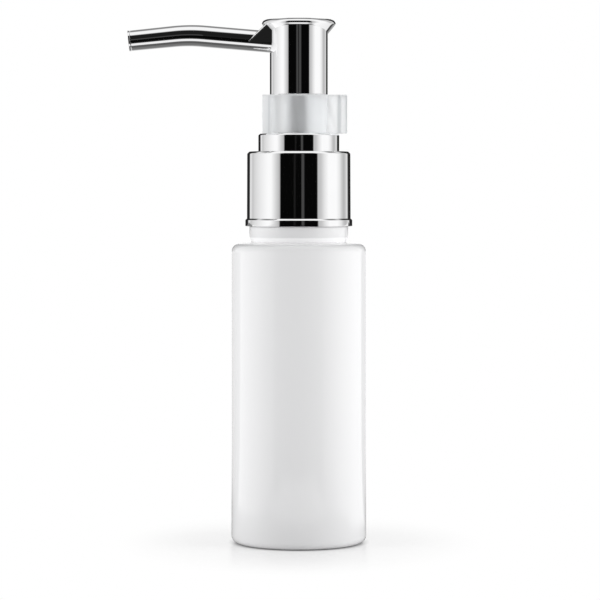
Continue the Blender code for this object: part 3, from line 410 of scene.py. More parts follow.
def round_ring(radius, height, fillet, centre_y=0.0):
    """In edit mode, round the edges that run round at one radius and height."""
    def on_ring(edge):
        return all(abs(sqrt(v.co.x ** 2 + (v.co.y - centre_y) ** 2) - radius) < NEAR
                   and abs(v.co.z - height) < NEAR for v in edge.verts)

    pick("EDGE", on_ring)
    bpy.ops.mesh.bevel(offset=fillet, segments=5, profile=0.5, affect="EDGES", clamp_overlap=False)


def turned(name, stations, facets=128, ring=True, centre_y=0.0):
    """A round piece drawn out of a circle through its (radius, height) stations. A third
    number rounds that corner. A ring comes back to its first station, and a solid starts
    and ends with a flat face."""
    radius, height = stations[0][:2]
    piece = start_with(bpy.ops.mesh.primitive_circle_add, name, vertices=facets, radius=radius,
                       fill_type="NOTHING" if ring else "NGON", location=(0.0, centre_y, height))
    bpy.ops.object.mode_set(mode="EDIT")
    for station in stations[1:] + (stations[:1] if ring else []):
        rise = station[1] - height
        bpy.ops.mesh.extrude_region_move(TRANSFORM_OT_translate={"value": (0.0, 0.0, rise)})
        share = station[0] / radius
        bpy.ops.transform.resize(value=(share, share, 1.0), center_override=(0.0, centre_y, 0.0))
        radius, height = station[:2]
    close_up()
    for station in stations:
        if len(station) == 3:
            round_ring(*station, centre_y)
    bpy.ops.object.mode_set(mode="OBJECT")
    return piece


def modify(piece, kind, **settings):
    """Add a modifier with its settings to a piece, and apply it."""
    choose(piece)
    bpy.ops.object.modifier_add(type=kind)
    modifier = piece.modifiers[-1]
    for setting, value in settings.items():
        setattr(modifier, setting, value)
    bpy.ops.object.modifier_apply(modifier=modifier.name)


def work_in(piece, tool, operation):
    """Join a tool to the piece or cut the piece with it, and clear the tool away."""
    modify(piece, "BOOLEAN", operation=operation, solver="EXACT", object=tool)
    bpy.data.objects.remove(tool)


def smooth(piece, angle=35.0):
    """Shade smooth with crisp edges, large faces staying flat beside their rounded edges."""
    choose(piece)
    bpy.ops.object.shade_smooth_by_angle(angle=radians(angle))
    modify(piece, "WEIGHTED_NORMAL", keep_sharp=True)


def thread_ridge(name, wall_r, crest_r, start_z):
    """A ridge drawn round the neck by one and a half turns, thinner towards both ends."""
    ridge = start_with(bpy.ops.mesh.primitive_plane_add, name, size=1.0,
                       rotation=(pi / 2, 0.0, 0.0))
    bpy.ops.object.mode_set(mode="EDIT")
    shape = bmesh.from_edit_mesh(ridge.data)
    for vert in shape.verts:
        outer = vert.co.x > 0.0
        half_width = (THREAD_CREST_WIDTH if outer else THREAD_ROOT_WIDTH) / 2
        side = 1.0 if vert.co.z > 0.0 else -1.0
        vert.co = (crest_r if outer else wall_r, 0.0, start_z + side * half_width)
    bmesh.update_edit_mesh(ridge.data)
    turn = 2 * pi / THREAD_TURN_STEPS
    rise = THREAD_PITCH / THREAD_TURN_STEPS
    size = 1.0
    for index in range(THREAD_STEPS + 1):
        fade = min(index, THREAD_STEPS - index) / THREAD_FADE_STEPS
        wanted = min(1.0, THREAD_END_SHARE + fade)
        if index:
            bpy.ops.mesh.extrude_region_move(TRANSFORM_OT_translate={"value": (0.0, 0.0, rise)})
            bpy.ops.transform.rotate(value=-turn, orient_axis="Z", center_override=(0.0, 0.0, 0.0))
        root = (wall_r * cos(index * turn), wall_r * sin(index * turn), start_z + index * rise)
        share = wanted / size
        bpy.ops.transform.resize(value=(share, share, share), center_override=root)
        size = wanted
    close_up()
    bpy.ops.object.mode_set(mode="OBJECT")
    return ridge


def vary(noise, middle, spread):
    """A noise as a value that drifts by half the spread to both sides of a middle."""
    return middle + (noise - 0.5) * spread


def moulded_plastic(name, colour, shade, roughness, waviness=0.1):
    """Moulded plastic: the colour drifts a little, and the skin has the mould's faint grain."""
    material, shader, wire = new_finish(name)
    place = wire.node("TexCoord", output="Object")
    drift = wire.node("TexNoise", sockets={"Vector": place, "Scale": 55.0, "Detail": 2.0})
    drift.blend((*colour, 1.0), (*shade, 1.0)).into(shader, "Base Color")
    skin = wire.node("TexNoise", sockets={"Vector": place, "Scale": 900.0, "Detail": 3.0})
    vary(skin, roughness, 0.08).into(shader, "Roughness")
    bump = wire.node("Bump", sockets={"Height": skin, "Strength": waviness, "Distance": 0.02 * MM})
    bump.into(shader, "Normal")
    shader.inputs["IOR"].default_value = 1.49
    return material


def painted_glow(shader, mask, colour, strength):
    """Paint light into a finish where the mask is 1: a faint emission, though it is no lamp."""
    mask.blend(BLACK, colour).into(shader, "Emission Color")
    shader.inputs["Emission Strength"].default_value = strength


bottle = turned("bottle_body", [
    (BASE_PAD_R, 0.0), (BASE_PAD_R + BASE_GROOVE, BASE_GROOVE, RIM_FILLET),
    (FOOT_BORE_R - BASE_GROOVE, BASE_GROOVE, RIM_FILLET), (FOOT_BORE_R, 0.0),
    (HEEL_R, 0.0, HEEL_FILLET), (BODY_R, HEEL_Z), (BODY_R, SHOULDER_Z, SHOULDER_FILLET),
    (LAND_R, LAND_Z, FINE_FILLET), (LAND_R + LAND_SPREAD, LAND_Z + LAND_HEIGHT),
    (BEAD_R, BEAD_Z, BEAD_LOWER_FILLET), (BEAD_R, BEAD_TOP_Z, FINE_FILLET),
    (NECK_R, BEAD_TOP_Z), (NECK_R, NECK_Z, RIM_FILLET), (NECK_BORE_R, NECK_Z, RIM_FILLET),
    (NECK_BORE_R, SHOULDER_FLOOR_Z, INNER_FILLET), (BODY_BORE_R, SHOULDER_FLOOR_Z, INNER_FILLET),
    (BODY_BORE_R, INSIDE_FLOOR_Z, INNER_FILLET), (INSIDE_FLOOR_R, INSIDE_FLOOR_Z),
], ring=False)
thread = thread_ridge("neck_thread", NECK_R - THREAD_SINK, NECK_R + THREAD_DEPTH, THREAD_START_Z)
work_in(bottle, thread, "UNION")
smooth(bottle)
bottle.data.materials.clear()
bottle_white = moulded_plastic("bottle_white", (0.85, 0.85, 0.858), (0.87, 0.87, 0.876),
                               roughness=0.055)
bottle_wire = Wire(bottle_white.node_tree)
bottle_place = bottle_wire.node("TexCoord", output="Object")
bottle_height = bottle_wire.node("SeparateXYZ", sockets={0: bottle_place}).output("Z") / MM
# Painted light in the shaded groove under the bead
painted_glow(bottle_white.node_tree.nodes["Principled BSDF"], bottle_height.band(*GROOVE_PAINTED_LIGHT_Z),
     WHITE, GROOVE_PAINTED_LIGHT)
bottle.data.materials.append(bottle_white)
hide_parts("bottle")
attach(bottle, "bottle")


# Inside the neck hangs the pump: a natural polypropylene cylinder with its valve, ball and
# suction tube, sealed by soft washers. It is clamped on the rim by the screw cap.
def dress(node, material):
    """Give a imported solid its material."""
    for material_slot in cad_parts[node].material_slots:
        material_slot.material = material


natural_plastic = moulded_plastic("natural_plastic", (0.80, 0.81, 0.81), (0.84, 0.85, 0.85),
                                  roughness=0.42)
for node in ("pump_housing", "valve_cage", "dip_tube", "closure_core", "stem", "piston_rod",
             "actuator_core", "nozzle_liner"):
    dress(node, natural_plastic)
soft_plastic = moulded_plastic("soft_plastic", (0.72, 0.73, 0.72), (0.76, 0.77, 0.76),
                               roughness=0.62, waviness=0.3)
for node in ("neck_gasket", "stem_seal", "piston"):
    dress(node, soft_plastic)


def steel(name, roughness):
    """Stainless steel with fine uneven polish."""
    material, shader, wire = new_finish(name)
    place = wire.node("TexCoord", output="Object")
    polish = wire.node("TexNoise", sockets={"Vector": place, "Scale": 1500.0, "Detail": 4.0})
    polish.blend((0.58, 0.58, 0.59, 1.0), (0.68, 0.68, 0.69, 1.0)).into(shader, "Base Color")
    vary(polish, roughness, 0.15).into(shader, "Roughness")
    shader.inputs["Metallic"].default_value = 1.0
    return material


dress("return_spring", steel("spring_wire", 0.3))
dress("inlet_ball", steel("ball_polish", 0.12))
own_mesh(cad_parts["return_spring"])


# The collar is a thin drawn aluminium shell with a rolled flange at its foot, polished and
# bright-plated, and pressed over the screw cap.
collar_low, collar_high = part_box("collar_shell")
COLLAR_FOOT_Z = collar_low[2]
COLLAR_FLANGE_R = collar_high[0]
COLLAR_FLANGE_TOP_Z = 88.62 * MM
COLLAR_BORE_R = 13.6 * MM
COLLAR_SKIRT_R = 14.2 * MM              # at the flange, and a little less at the top
COLLAR_SKIRT_Z = 89.04 * MM
COLLAR_EDGE_R = 14.12 * MM
COLLAR_EDGE_Z = 106.7 * MM              # the chamfer starts here, level with the roof's inside
COLLAR_TOP_R = 13.57 * MM
COLLAR_TOP_Z = 107.3 * MM
COLLAR_HOLE_R = 8.4 * MM
COLLAR_FOOT_FILLET = 0.1 * MM
COLLAR_FLANGE_FILLET = 0.08 * MM
COLLAR_TOP_FILLET = 0.12 * MM
COLLAR_HOLE_FILLET = 0.1 * MM
PLATING_ROUGHNESS = 0.025


def bright_plating(name):
    """Mirror plating with a very faint haze that comes and goes."""
    material, shader, wire = new_finish(name)
    place = wire.node("TexCoord", output="Object")
    bloom = wire.node("TexNoise", sockets={"Vector": place, "Scale": 160.0, "Detail": 3.0})
    bloom.blend((0.90, 0.90, 0.905, 1.0), (0.935, 0.935, 0.94, 1.0)).into(shader, "Base Color")
    vary(bloom, PLATING_ROUGHNESS, 0.02).into(shader, "Roughness")
    ripple = wire.node("TexNoise", sockets={"Vector": place, "Scale": 260.0, "Detail": 1.0})
    bump = wire.node("Bump", sockets={"Height": ripple, "Strength": 0.05, "Distance": 0.01 * MM})
    bump.into(shader, "Normal")
    shader.inputs["Metallic"].default_value = 1.0
    return material


collar = turned("collar_shell_plated", [
    (COLLAR_BORE_R, COLLAR_FOOT_Z), (COLLAR_FLANGE_R, COLLAR_FOOT_Z, COLLAR_FOOT_FILLET),
    (COLLAR_FLANGE_R, COLLAR_FLANGE_TOP_Z, COLLAR_FLANGE_FILLET),
    (COLLAR_SKIRT_R, COLLAR_SKIRT_Z), (COLLAR_EDGE_R, COLLAR_EDGE_Z, FINE_FILLET),
    (COLLAR_TOP_R, COLLAR_TOP_Z, COLLAR_TOP_FILLET),
    (COLLAR_HOLE_R, COLLAR_TOP_Z, COLLAR_HOLE_FILLET), (COLLAR_HOLE_R, COLLAR_EDGE_Z),
    (COLLAR_BORE_R, COLLAR_EDGE_Z),
])
smooth(collar)
collar.data.materials.append(bright_plating("collar_plating"))
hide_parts("collar_shell")
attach(collar, "closure")


# The guide is one plated moulding: a low round step on the collar, and the tube that rises
# from it into the head and keeps the stem straight. It plugs into the pump's cup.
guide_low, guide_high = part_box("stem_guide")
PLUG_Z = guide_low[2]
PLUG_R = 7.1 * MM
PLUG_TOP_Z = 105.4 * MM
GUIDE_BORE_R = 3.9 * MM
GUIDE_NECK_R = 8.1 * MM                 # through the hole in the collar
GUIDE_FOOT_R = 8.65 * MM
STEP_R = 11.07 * MM
STEP_Z = 107.33 * MM
STEP_BORE_R = 9.9 * MM                  # the step is hollow between its foot and its wall
STEP_ROOF_Z = 110.65 * MM
STEP_CHAMFER = 0.42 * MM
DECK_Z = 112.14 * MM
CHIMNEY_R = 5.8 * MM
CHIMNEY_BORE_R = 5.0 * MM
CHIMNEY_FLOOR_Z = 108.2 * MM
CHIMNEY_TOP_Z = guide_high[2]
CHIMNEY_FOOT_FILLET = 0.3 * MM
PLUG_FILLET = 0.3 * MM
STEP_EDGE_FILLET = 0.12 * MM
DECK_FILLET = 0.1 * MM

guide = turned("stem_guide_plated", [
    (CHIMNEY_BORE_R, CHIMNEY_TOP_Z, FINE_FILLET), (CHIMNEY_BORE_R, CHIMNEY_FLOOR_Z),
    (GUIDE_BORE_R, CHIMNEY_FLOOR_Z), (GUIDE_BORE_R, PLUG_Z), (PLUG_R, PLUG_Z, PLUG_FILLET),
    (PLUG_R, PLUG_TOP_Z), (GUIDE_NECK_R, PLUG_TOP_Z), (GUIDE_NECK_R, STEP_Z),
    (GUIDE_FOOT_R, STEP_Z), (GUIDE_FOOT_R, STEP_ROOF_Z), (STEP_BORE_R, STEP_ROOF_Z),
    (STEP_BORE_R, STEP_Z), (STEP_R, STEP_Z), (STEP_R, DECK_Z - STEP_CHAMFER, STEP_EDGE_FILLET),
    (STEP_R - STEP_CHAMFER, DECK_Z, DECK_FILLET), (CHIMNEY_R, DECK_Z, CHIMNEY_FOOT_FILLET),
    (CHIMNEY_R, CHIMNEY_TOP_Z, FINE_FILLET),
])
smooth(guide)
guide.data.materials.append(bright_plating("guide_plating"))
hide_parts("stem_guide")
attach(guide, "pump_body")


# The lock clip is moulded from milky, half clear polypropylene. It is a C-shaped band with two
# lips at its mouth and a grooved grip block to pull it off by. It snaps round the guide's tube.
CLIP_Z = 112.27 * MM
CLIP_TOP_Z = 122.6 * MM
CLIP_R = 10.1 * MM
CLIP_FOOT_R = 9.8 * MM
CLIP_BORE_R = 8.15 * MM
CLIP_FACETS = 160
CLIP_MOUTH = 5.85 * MM                  # half the mouth's width
CLIP_MOUTH_X = -5.0 * MM                # the cut for the mouth ends here, inside the bore
CLIP_LIP = 0.6 * MM
CLIP_LIP_X = -9.87 * MM
CLIP_LIP_ROOT_X = -7.2 * MM
CLIP_LIP_SPREAD = 0.15 * MM
TAB_HALF = 6.4 * MM
TAB_START_X = 7.0 * MM
TAB_X = 13.1 * MM
TAB_GROOVE = (10.65 * MM, 11.5 * MM)
TAB_GROOVE_DEPTH = 1.0 * MM
CLIP_MERGE = 0.12 * MM                  # closer points, where the forms meet, become one
CLIP_BEVEL = 0.25 * MM
CLIP_BEVEL_ANGLE = 60.0                 # degrees
OVERCUT = 1.0 * MM                      # how far a cutting form reaches past what it opens
# Painted shade: darker lines on the clip's two sides, in millimetres from the bottle's axis: in
# the grip's grooves, where the lips leave the band, and at the grip's end.
CLIP_SIDE_FROM = (4.6, 5.6)
GROOVE_PAINTED_SHADE = (10.3, 10.8, 11.2, 11.7)
LIP_PAINTED_SHADE = (-8.4, -8.2, -8.0, -7.8)
LIP_PAINTED_SHADE_SHARE = 0.6
END_PAINTED_SHADE_FROM = (12.4, 12.9)
CLIP_PAINTED_GLOW = 0.045                       # painted light: a glow that brightens the thicker half, up to the grooves
CLIP_PAINTED_GLOW_X = (1.0, 4.5, 10.0, 10.4)
EDGE_HIGHLIGHT_FROM = (122.2, 122.4)      # height from which the top edge turns pale: a painted highlight
EDGE_HIGHLIGHT_SHARE = 0.6
MILK_THIN = (0.975, 0.985, 0.992, 1.0)
MILK_THICK = (0.985, 0.995, 1.0, 1.0)
PAINTED_SHADE_COLOUR = (0.70, 0.72, 0.73, 1.0)
CLIP_PAINTED_GLOW_COLOUR = (0.97, 0.98, 1.0, 1.0)
EDGE_HIGHLIGHT_COLOUR = (0.95, 0.955, 0.96, 1.0)
EDGE_HIGHLIGHT_ROUGHNESS = 0.5
MILKY_ROUGHNESS = 0.66
MILKY_CLEARNESS = 0.8
MILKY_IOR = 1.13                        # below the plastic's own 1.49, to match the photograph


def block(name, low, high):
    """A box between two corners, to be shaped on."""
    size = [top_edge - bottom_edge for bottom_edge, top_edge in zip(low, high)]
    middle = [(top_edge + bottom_edge) / 2 for bottom_edge, top_edge in zip(low, high)]
    return start_with(bpy.ops.mesh.primitive_cube_add, name, size=1.0, location=middle, scale=size)


def spread_end(piece, end_x, share):
    """Make the end of a block at one x wider or narrower in y."""
    bpy.ops.object.mode_set(mode="EDIT")
    pick("VERT", lambda vert: abs(vert.co.x - end_x) < NEAR)
    bpy.ops.transform.resize(value=(1.0, share, 1.0), center_override=(0.0, 0.0, 0.0))
    bpy.ops.object.mode_set(mode="OBJECT")


clip = turned("lock_clip_milky", [(CLIP_FOOT_R, CLIP_Z), (CLIP_R, CLIP_TOP_Z)],
              facets=CLIP_FACETS, ring=False)
lip_y = CLIP_MOUTH + CLIP_LIP
lips = block("lips", (CLIP_LIP_X, -lip_y, CLIP_Z), (CLIP_LIP_ROOT_X, lip_y, CLIP_TOP_Z))
spread_end(lips, CLIP_LIP_X, (lip_y + CLIP_LIP_SPREAD) / lip_y)
work_in(clip, lips, "UNION")
grip = block("grip", (TAB_START_X, -TAB_HALF, CLIP_Z), (TAB_X, TAB_HALF, CLIP_TOP_Z))
work_in(clip, grip, "UNION")
for side in (-1.0, 1.0):
    groove_y = sorted((side * (TAB_HALF - TAB_GROOVE_DEPTH), side * (TAB_HALF + OVERCUT)))
    groove = block("groove", (TAB_GROOVE[0], groove_y[0], CLIP_Z - OVERCUT),
                   (TAB_GROOVE[1], groove_y[1], CLIP_TOP_Z + OVERCUT))
    work_in(clip, groove, "DIFFERENCE")
bore = turned("clip_bore", [(CLIP_BORE_R, CLIP_Z - OVERCUT), (CLIP_BORE_R, CLIP_TOP_Z + OVERCUT)],
              facets=CLIP_FACETS, ring=False)
work_in(clip, bore, "DIFFERENCE")
mouth = block("mouth", (CLIP_LIP_X - OVERCUT, -CLIP_MOUTH, CLIP_Z - OVERCUT),
              (CLIP_MOUTH_X, CLIP_MOUTH, CLIP_TOP_Z + OVERCUT))
spread_end(mouth, CLIP_LIP_X - OVERCUT, (CLIP_MOUTH + CLIP_LIP_SPREAD) / CLIP_MOUTH)
work_in(clip, mouth, "DIFFERENCE")
bpy.ops.object.mode_set(mode="EDIT")
bpy.ops.mesh.select_all(action="SELECT")
bpy.ops.mesh.remove_doubles(threshold=CLIP_MERGE)
bpy.ops.object.mode_set(mode="OBJECT")
modify(clip, "BEVEL", limit_method="ANGLE", angle_limit=radians(CLIP_BEVEL_ANGLE),
       width=CLIP_BEVEL, segments=3)
smooth(clip)

milky, milky_shader, milky_wire = new_finish("milky_plastic")
milky_place = milky_wire.node("TexCoord", output="Object")
cloud = milky_wire.node("TexNoise", sockets={"Vector": milky_place, "Scale": 180.0, "Detail": 3.0})
milk = cloud.blend(MILK_THIN, MILK_THICK)
milky_spot = milky_wire.node("SeparateXYZ", sockets={0: milky_place})
along, clip_height = milky_spot.output("X") / MM, milky_spot.output("Z") / MM
sideways = milky_wire.maths("ABSOLUTE", milky_spot.output("Y")) / MM
# Painted shade on the two sides: in the grooves, at the lips' roots and at the grip's end
painted_shade_lines = (along.band(*GROOVE_PAINTED_SHADE) + along.band(*LIP_PAINTED_SHADE) * LIP_PAINTED_SHADE_SHARE
         + along.step(*END_PAINTED_SHADE_FROM))
shaded = painted_shade_lines * sideways.step(*CLIP_SIDE_FROM)
shaded.blend(milk, PAINTED_SHADE_COLOUR).into(milky_shader, "Base Color")
vary(cloud, MILKY_ROUGHNESS, 0.08).into(milky_shader, "Roughness")
milky_shader.inputs["Transmission Weight"].default_value = MILKY_CLEARNESS
milky_shader.inputs["IOR"].default_value = MILKY_IOR
# Painted light: the thicker half glows faintly, though it is no lamp
painted_glow(milky_shader, along.band(*CLIP_PAINTED_GLOW_X), CLIP_PAINTED_GLOW_COLOUR, CLIP_PAINTED_GLOW)
# Painted highlight: a pale, less clear finish blended in along the clip's top edge
painted_edge_highlight = milky_wire.node("BsdfPrincipled", sockets={
    "Base Color": EDGE_HIGHLIGHT_COLOUR, "Roughness": EDGE_HIGHLIGHT_ROUGHNESS})
at_top = clip_height.step(*EDGE_HIGHLIGHT_FROM) * EDGE_HIGHLIGHT_SHARE
clip_surface = milky_wire.node("MixShader", sockets={
    0: at_top, 1: Wire(milky.node_tree, milky_shader.outputs[0]), 2: painted_edge_highlight})
clip_surface.into(milky.node_tree.nodes["Material Output"], "Surface")
clip.data.materials.append(milky)
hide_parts("lock_clip")
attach(clip, "clip")


# The head is one plated moulding: a round skirt that flares into a leaf-shaped thumb pad, and
# a long nozzle with one bend, stiffened at its root by a gusset under the pad's point.
SKIRT_R = 7.9 * MM
SKIRT_BORE_R = 6.9 * MM
SKIRT_Z = 122.74 * MM
SKIRT_TOP_Z = 141.8 * MM                # inside the pad
SKIRT_FACETS = 160
PAD_ARC_R = 10.29 * MM
PAD_ARC_SHIFT = 2.17 * MM
PAD_FACETS = 256
FLARE_Z = 139.3 * MM
FLARE_TOP_Z = 141.64 * MM
FLARE_SPREAD = 1.85 * MM
LIP = 0.19 * MM
LIP_Z = 142.02 * MM
CROWN_DEPTH = 1.7 * MM
CROWN_RISE = 1.35 * MM
CROWN_STEPS = 8
CROWN_STEP_ANGLE = radians(8.0)
RIM_WALL = 0.9 * MM
CAP_SEAT_Z = 141.55 * MM
NOZZLE_START_X = 3.9 * MM
NOZZLE_END_X = 45.75 * MM
NOZZLE_TIP_X = 46.45 * MM
# The nozzle's middle line, as (distance from the bottle's axis, height)
NOZZLE_ROOT = (7.85 * MM, 137.17 * MM)
NOZZLE_BEND = (29.9 * MM, 139.06 * MM)
NOZZLE_TIP = (46.65 * MM, 137.38 * MM)
NOZZLE_BEND_SPREAD = 4.0 * MM
NOZZLE_BEND_STEPS = 16
NOZZLE_PROBE = 0.1 * MM                 # half the length over which its slope is taken
NOZZLE_ROOT_R = 3.0 * MM
NOZZLE_END_R = 2.8 * MM
NOZZLE_BORE_R = 1.8 * MM
BORE_FACETS = 40
STRAIGHT = 1e-6                         # radians: a smaller turn is none
GUSSET_HALF = 3.1 * MM
GUSSET_FOOT_X = 13.6 * MM
GUSSET_TOP = (-9.15 * MM, 141.82 * MM)
GUSSET_FILLET = 0.6 * MM
SLANTED = 0.1 * MM                      # an edge that covers more in both x and z is slanted
ON_PLANE = 0.0001 * MM
HEAD_SMOOTH_ANGLE = 14.0                # degrees


def leaf(name, stations):
    """Two equal round discs, one shifted forwards and one back, and what they share."""
    front = turned(name, stations, facets=PAD_FACETS, ring=False, centre_y=-PAD_ARC_SHIFT)
    back = turned(name + "_back", stations, facets=PAD_FACETS, ring=False, centre_y=PAD_ARC_SHIFT)
    work_in(front, back, "INTERSECT")
    return front


def nozzle_height(x):
    """Height of the nozzle's middle line at a distance x from the bottle's axis."""
    rise = (NOZZLE_BEND[1] - NOZZLE_ROOT[1]) / (NOZZLE_BEND[0] - NOZZLE_ROOT[0])
    fall = (NOZZLE_BEND[1] - NOZZLE_TIP[1]) / (NOZZLE_TIP[0] - NOZZLE_BEND[0])
    start = NOZZLE_BEND[0] - NOZZLE_BEND_SPREAD
    into_bend = min(max(x - start, 0.0), 2 * NOZZLE_BEND_SPREAD)
    curved = rise * into_bend - (rise + fall) * into_bend ** 2 / (4 * NOZZLE_BEND_SPREAD)
    before = NOZZLE_BEND[1] - rise * NOZZLE_BEND_SPREAD - rise * max(start - x, 0.0)
    return before + curved - fall * max(x - NOZZLE_BEND[0] - NOZZLE_BEND_SPREAD, 0.0)


def nozzle_slope(x):
    """Angle by which the nozzle's middle line rises at a distance x."""
    ahead = nozzle_height(x + NOZZLE_PROBE) - nozzle_height(x - NOZZLE_PROBE)
    return atan2(ahead, 2 * NOZZLE_PROBE)


def along_nozzle(name, stations, facets=64):
    """A rod drawn out of a disc along the nozzle's line through its (x, radius) stations."""
    x, radius = stations[0]
    rod = start_with(bpy.ops.mesh.primitive_circle_add, name, vertices=facets, radius=radius,
                     fill_type="NGON", location=(-x, 0.0, nozzle_height(x)),
                     rotation=(0.0, -pi / 2 + nozzle_slope(x), 0.0))
    bpy.ops.object.mode_set(mode="EDIT")
    for next_x, next_radius in stations[1:]:
        step = (x - next_x, 0.0, nozzle_height(next_x) - nozzle_height(x))
        bpy.ops.mesh.extrude_region_move(TRANSFORM_OT_translate={"value": step})
        centre = (-next_x, 0.0, nozzle_height(next_x))
        turn = nozzle_slope(next_x) - nozzle_slope(x)
        if abs(turn) > STRAIGHT:
            bpy.ops.transform.rotate(value=-turn, orient_axis="Y", center_override=centre)
        share = next_radius / radius
        bpy.ops.transform.resize(value=(share, share, share), center_override=centre)
        x, radius = next_x, next_radius
    close_up()
    bpy.ops.object.mode_set(mode="OBJECT")
    return rod


def nozzle_stations(start, end, radius_at):
    """Stations from start to end, close together round the bend."""
    first = NOZZLE_BEND[0] - NOZZLE_BEND_SPREAD
    bend = [first + 2 * NOZZLE_BEND_SPREAD * step / NOZZLE_BEND_STEPS
            for step in range(NOZZLE_BEND_STEPS + 1)]
    places = [start] + [x for x in bend if start < x < end] + [end]
    return [(x, radius_at(x)) for x in places]


def nozzle_radius(x):
    """The same from the root to the bend, then tapering to the tip."""
    taper_x = NOZZLE_BEND[0] - NOZZLE_BEND_SPREAD
    share = max(0.0, (x - taper_x) / (NOZZLE_TIP_X - taper_x))
    return NOZZLE_ROOT_R + (NOZZLE_END_R - NOZZLE_ROOT_R) * share


def crown(inset):
    """Radius and height on the pad's rounded edge, at an inset from its outline."""
    rise = CROWN_RISE * sqrt(1 - (1 - inset / CROWN_DEPTH) ** 2)
    return (PAD_ARC_R - inset, LIP_Z + rise)


head = turned("head_shell_plated", [(SKIRT_R, SKIRT_Z, FINE_FILLET), (SKIRT_R, SKIRT_TOP_Z)],
              facets=SKIRT_FACETS, ring=False)
edge_insets = [CROWN_DEPTH * (1 - cos(CROWN_STEP_ANGLE * step)) for step in range(CROWN_STEPS)]
flare_top_r = PAD_ARC_R - LIP
pad = leaf("thumb_pad", [(flare_top_r - FLARE_SPREAD, FLARE_Z), (flare_top_r, FLARE_TOP_Z)]
           + [crown(inset) for inset in edge_insets] + [crown(RIM_WALL)])
work_in(head, pad, "UNION")
nozzle = along_nozzle("nozzle", nozzle_stations(NOZZLE_START_X, NOZZLE_END_X, nozzle_radius))
work_in(head, nozzle, "UNION")

gusset_foot = (-GUSSET_FOOT_X, nozzle_height(GUSSET_FOOT_X))
gusset = block("gusset", (gusset_foot[0], -GUSSET_HALF, nozzle_height(NOZZLE_START_X)),
               (-NOZZLE_START_X, GUSSET_HALF, GUSSET_TOP[1]))
bpy.ops.object.mode_set(mode="EDIT")
bpy.ops.mesh.select_all(action="SELECT")
gusset_slope = atan2(GUSSET_TOP[1] - gusset_foot[1], GUSSET_TOP[0] - gusset_foot[0])
bpy.ops.mesh.bisect(plane_co=(gusset_foot[0], 0.0, gusset_foot[1]),
                    plane_no=(-sin(gusset_slope), 0.0, cos(gusset_slope)), threshold=ON_PLANE,
                    use_fill=True, clear_outer=True)
close_up()


def slopes_at_side(edge):
    """Whether an edge runs up the slope on one of the gusset's two sides."""
    start, end = (vert.co for vert in edge.verts)
    at_side = all(abs(abs(place.y) - GUSSET_HALF) < NEAR for place in (start, end))
    return at_side and min(abs(start.x - end.x), abs(start.z - end.z)) > SLANTED


pick("EDGE", slopes_at_side)
bpy.ops.mesh.bevel(offset=GUSSET_FILLET, segments=6, profile=0.5, affect="EDGES")
bpy.ops.object.mode_set(mode="OBJECT")
work_in(head, gusset, "UNION")
above_rim = LIP_Z + 2 * OVERCUT
cavity = turned("head_cavity", [(SKIRT_BORE_R, SKIRT_Z - OVERCUT), (SKIRT_BORE_R, above_rim)],
                facets=SKIRT_FACETS, ring=False)
work_in(head, cavity, "DIFFERENCE")
seat_r = PAD_ARC_R - RIM_WALL
work_in(head, leaf("cap_seat", [(seat_r, CAP_SEAT_Z), (seat_r, above_rim)]), "DIFFERENCE")
bore_stations = nozzle_stations(NOZZLE_START_X - OVERCUT, NOZZLE_END_X + OVERCUT,
                                lambda x: NOZZLE_BORE_R)
work_in(head, along_nozzle("nozzle_bore", bore_stations, facets=BORE_FACETS), "DIFFERENCE")
smooth(head, HEAD_SMOOTH_ANGLE)
head.data.materials.append(bright_plating("head_plating"))
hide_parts("head_shell")
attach(head, "head")


# The cap is a thin domed leaf, plated like the head. It is pressed into the head's rim and
# held by a round spigot under it.
CAP_INSET = 1.2 * MM
CAP_Z = 141.85 * MM
CAP_EDGE_Z = crown(CAP_INSET)[1]
CAP_RISE = 0.24 * MM
CAP_STEPS = 10
SPIGOT_R = 5.8 * MM
SPIGOT_BORE_R = 5.0 * MM
SPIGOT_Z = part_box("head_cap")[0][2]

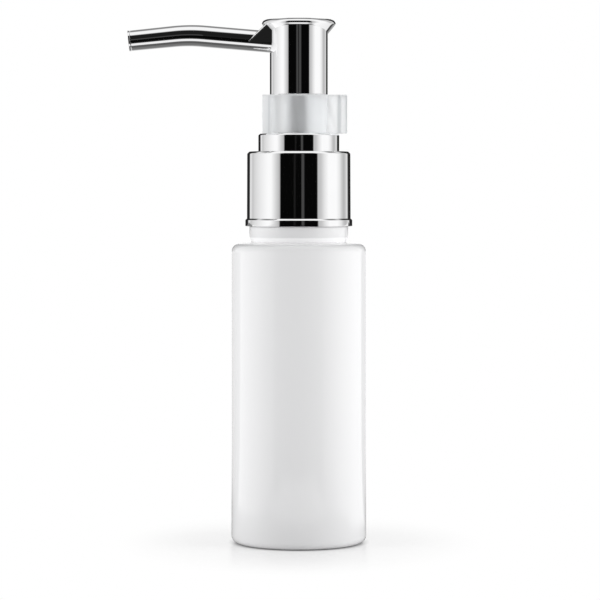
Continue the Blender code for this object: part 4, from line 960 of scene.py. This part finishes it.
cap_r = PAD_ARC_R - CAP_INSET
cap = leaf("head_cap_plated", [(cap_r, CAP_Z), (cap_r, CAP_EDGE_Z)])
choose(cap)
bpy.ops.object.mode_set(mode="EDIT")
pick("FACE", lambda face: face.normal.z > 0.9)
share, height = 1.0, CAP_EDGE_Z
for step in range(1, CAP_STEPS):
    next_share = 1 - step / CAP_STEPS
    next_height = CAP_EDGE_Z + CAP_RISE * (1 - next_share ** 2) / (1 - 1 / CAP_STEPS ** 2)
    rise = (0.0, 0.0, next_height - height)
    bpy.ops.mesh.extrude_region_move(TRANSFORM_OT_translate={"value": rise})
    ratio = next_share / share
    bpy.ops.transform.resize(value=(ratio, ratio, 1.0), center_override=(0.0, 0.0, 0.0))
    share, height = next_share, next_height
close_up()
bpy.ops.object.mode_set(mode="OBJECT")
spigot = turned("cap_spigot", [(SPIGOT_BORE_R, SPIGOT_Z), (SPIGOT_R, SPIGOT_Z), (SPIGOT_R, LIP_Z),
                               (SPIGOT_BORE_R, LIP_Z)])
work_in(cap, spigot, "UNION")
smooth(cap)
cap.data.materials.append(bright_plating("cap_plating"))
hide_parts("head_cap")
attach(cap, "head")


# A plated ring finishes the outlet. Its thin spigot is pushed into the nozzle's end until its
# flange covers the nozzle's edge.
TIP_R = 2.85 * MM
TIP_FLANGE_X = 45.9 * MM
TIP_STEP = 0.001 * MM                   # along the nozzle, from the spigot out to the flange
TIP_SPIGOT_R = 1.5 * MM
TIP_SPIGOT_X = 42.7 * MM
TIP_BORE_R = 0.85 * MM
TIP_BEVEL = 0.1 * MM
TIP_BEVEL_ANGLE = 40.0                  # degrees

tip = along_nozzle("nozzle_tip_plated", [
    (TIP_SPIGOT_X, TIP_SPIGOT_R), (TIP_FLANGE_X, TIP_SPIGOT_R), (TIP_FLANGE_X + TIP_STEP, TIP_R),
    (NOZZLE_TIP_X, TIP_R),
])
tip_bore = along_nozzle("tip_bore", [(TIP_SPIGOT_X - OVERCUT, TIP_BORE_R),
                                     (NOZZLE_TIP_X + OVERCUT, TIP_BORE_R)], facets=BORE_FACETS)
work_in(tip, tip_bore, "DIFFERENCE")
modify(tip, "BEVEL", limit_method="ANGLE", angle_limit=radians(TIP_BEVEL_ANGLE),
       width=TIP_BEVEL, segments=3)
smooth(tip)
tip.data.materials.append(bright_plating("tip_plating"))
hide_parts("nozzle_tip")
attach(tip, "head")
